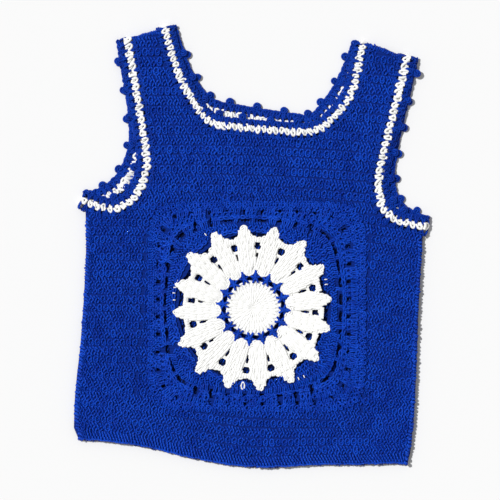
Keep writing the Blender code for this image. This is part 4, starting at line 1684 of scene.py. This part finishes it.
@dataclass(frozen=True)
class Studio:
    """Pale floor, soft light from the upper left and a camera square above the vest."""

    pixel: float = 1.2
    picture: int = 500
    distance: float = 3.0
    sensor: float = 36.0
    turn: float = math.radians(4.0)
    aim: tuple[float, float] = (-3.9, -0.8)
    aim_level: float = 7.0
    floor_half: float = 6.0
    floor_drop: float = 0.2
    floor_grey: float = 0.785
    far_limit: float = 50.0
    key_power: float = 3.52
    key_way: tuple[float, float, float] = (0.70, -0.33, -1.0)
    key_spread: float = 4.0
    fill: float = 0.34

    def build(self) -> None:
        """Floor, even light from all round, one sun and the camera."""
        scene = bpy.context.scene
        scene.view_settings.view_transform = "Standard"
        scene.view_settings.look = "None"
        bpy.ops.mesh.primitive_grid_add(x_subdivisions=2, y_subdivisions=2, size=2 * self.floor_half)
        floor = bpy.context.object
        floor.name = "floor"
        floor.location.z = -self.floor_drop * MM
        floor.data.materials.append(self.floor_finish())

        world = bpy.data.worlds.new("Soft room")
        scene.world = world
        world.use_nodes = True
        back = world.node_tree.nodes["Background"]
        back.inputs["Color"].default_value = (1.0, 1.0, 1.0, 1.0)
        back.inputs["Strength"].default_value = self.fill

        key = bpy.data.lights.new("Key", "SUN")
        key.energy = self.key_power
        key.angle = math.radians(self.key_spread)
        lamp = in_scene(bpy.data.objects.new("Key", key))
        lamp.rotation_euler = Vector(self.key_way).to_track_quat("-Z", "Y").to_euler()

        lens = bpy.data.cameras.new("Camera")
        lens.sensor_width = self.sensor
        lens.lens = self.sensor * self.distance / (self.pixel * self.picture * MM)
        lens.clip_end = self.far_limit
        camera = in_scene(bpy.data.objects.new("Camera", lens))
        camera.location = (*(Vector(self.aim) * MM), self.distance + self.aim_level * MM)
        camera.rotation_euler = (0.0, 0.0, self.turn)
        scene.camera = camera

    def floor_finish(self) -> bpy.types.Material:
        """Plain pale floor."""
        grey = (self.floor_grey,) * 3
        inputs = {"Base_Color": (*grey, 1.0), "Roughness": 1.0, "Specular_IOR_Level": 0.0}
        return Surface("Pale floor", **inputs).material


def declare(pieces: list[bpy.types.Object], node: str) -> None:
    """Work out the flat size and plan area of a ground's node; nothing is declared with them.

    Args:
        pieces: The ground, then the yarn worked over it.
        node: Node that the ground stands for.
    """
    cloth, *yarn = pieces
    flat = flat_size(node)
    area = min(flat_area(NodeShape(node)), flat[0] * flat[1])
    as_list(yarn)


def flat_size(node: str) -> tuple[float, float]:
    """Width and length of a node that lies flat."""
    low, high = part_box(node)
    return (high.x - low.x, high.y - low.y)


def main() -> None:
    """Build the studio and every piece of the vest in order."""
    logging.basicConfig(level=logging.INFO, format="%(name)s %(message)s")
    Studio().build()
    tree = StitchTree()
    fronts = ("front", "motif_lace", "flower_petals", "flower_ring", "flower_centre")
    back = Panel("back", True, seed=3).build(tree, [NodeShape(name) for name in fronts])
    front = Panel("front", False, seed=15).build(tree)
    lace = Lace().build(tree)
    flower = Flower()
    disc = flower.build_disc(tree)
    flower.build_ring(tree)
    petals = flower.build_petals(tree)
    openings = (
        Opening("neck", (0.0, 215.0), 210, pitch=7.0, tuck=2.4),
        Opening("armhole_left", (-190.0, 130.0), 213),
        Opening("armhole_right", (190.0, 125.0), 216),
    )
    for opening in openings:
        opening.build(tree)
    declare(back, "back")
    declare(front, "front")
    declare(lace, "motif_lace")
    declare(disc, "flower_centre")
    declare(petals, "flower_petals")


if __name__ == "__main__":
    main()
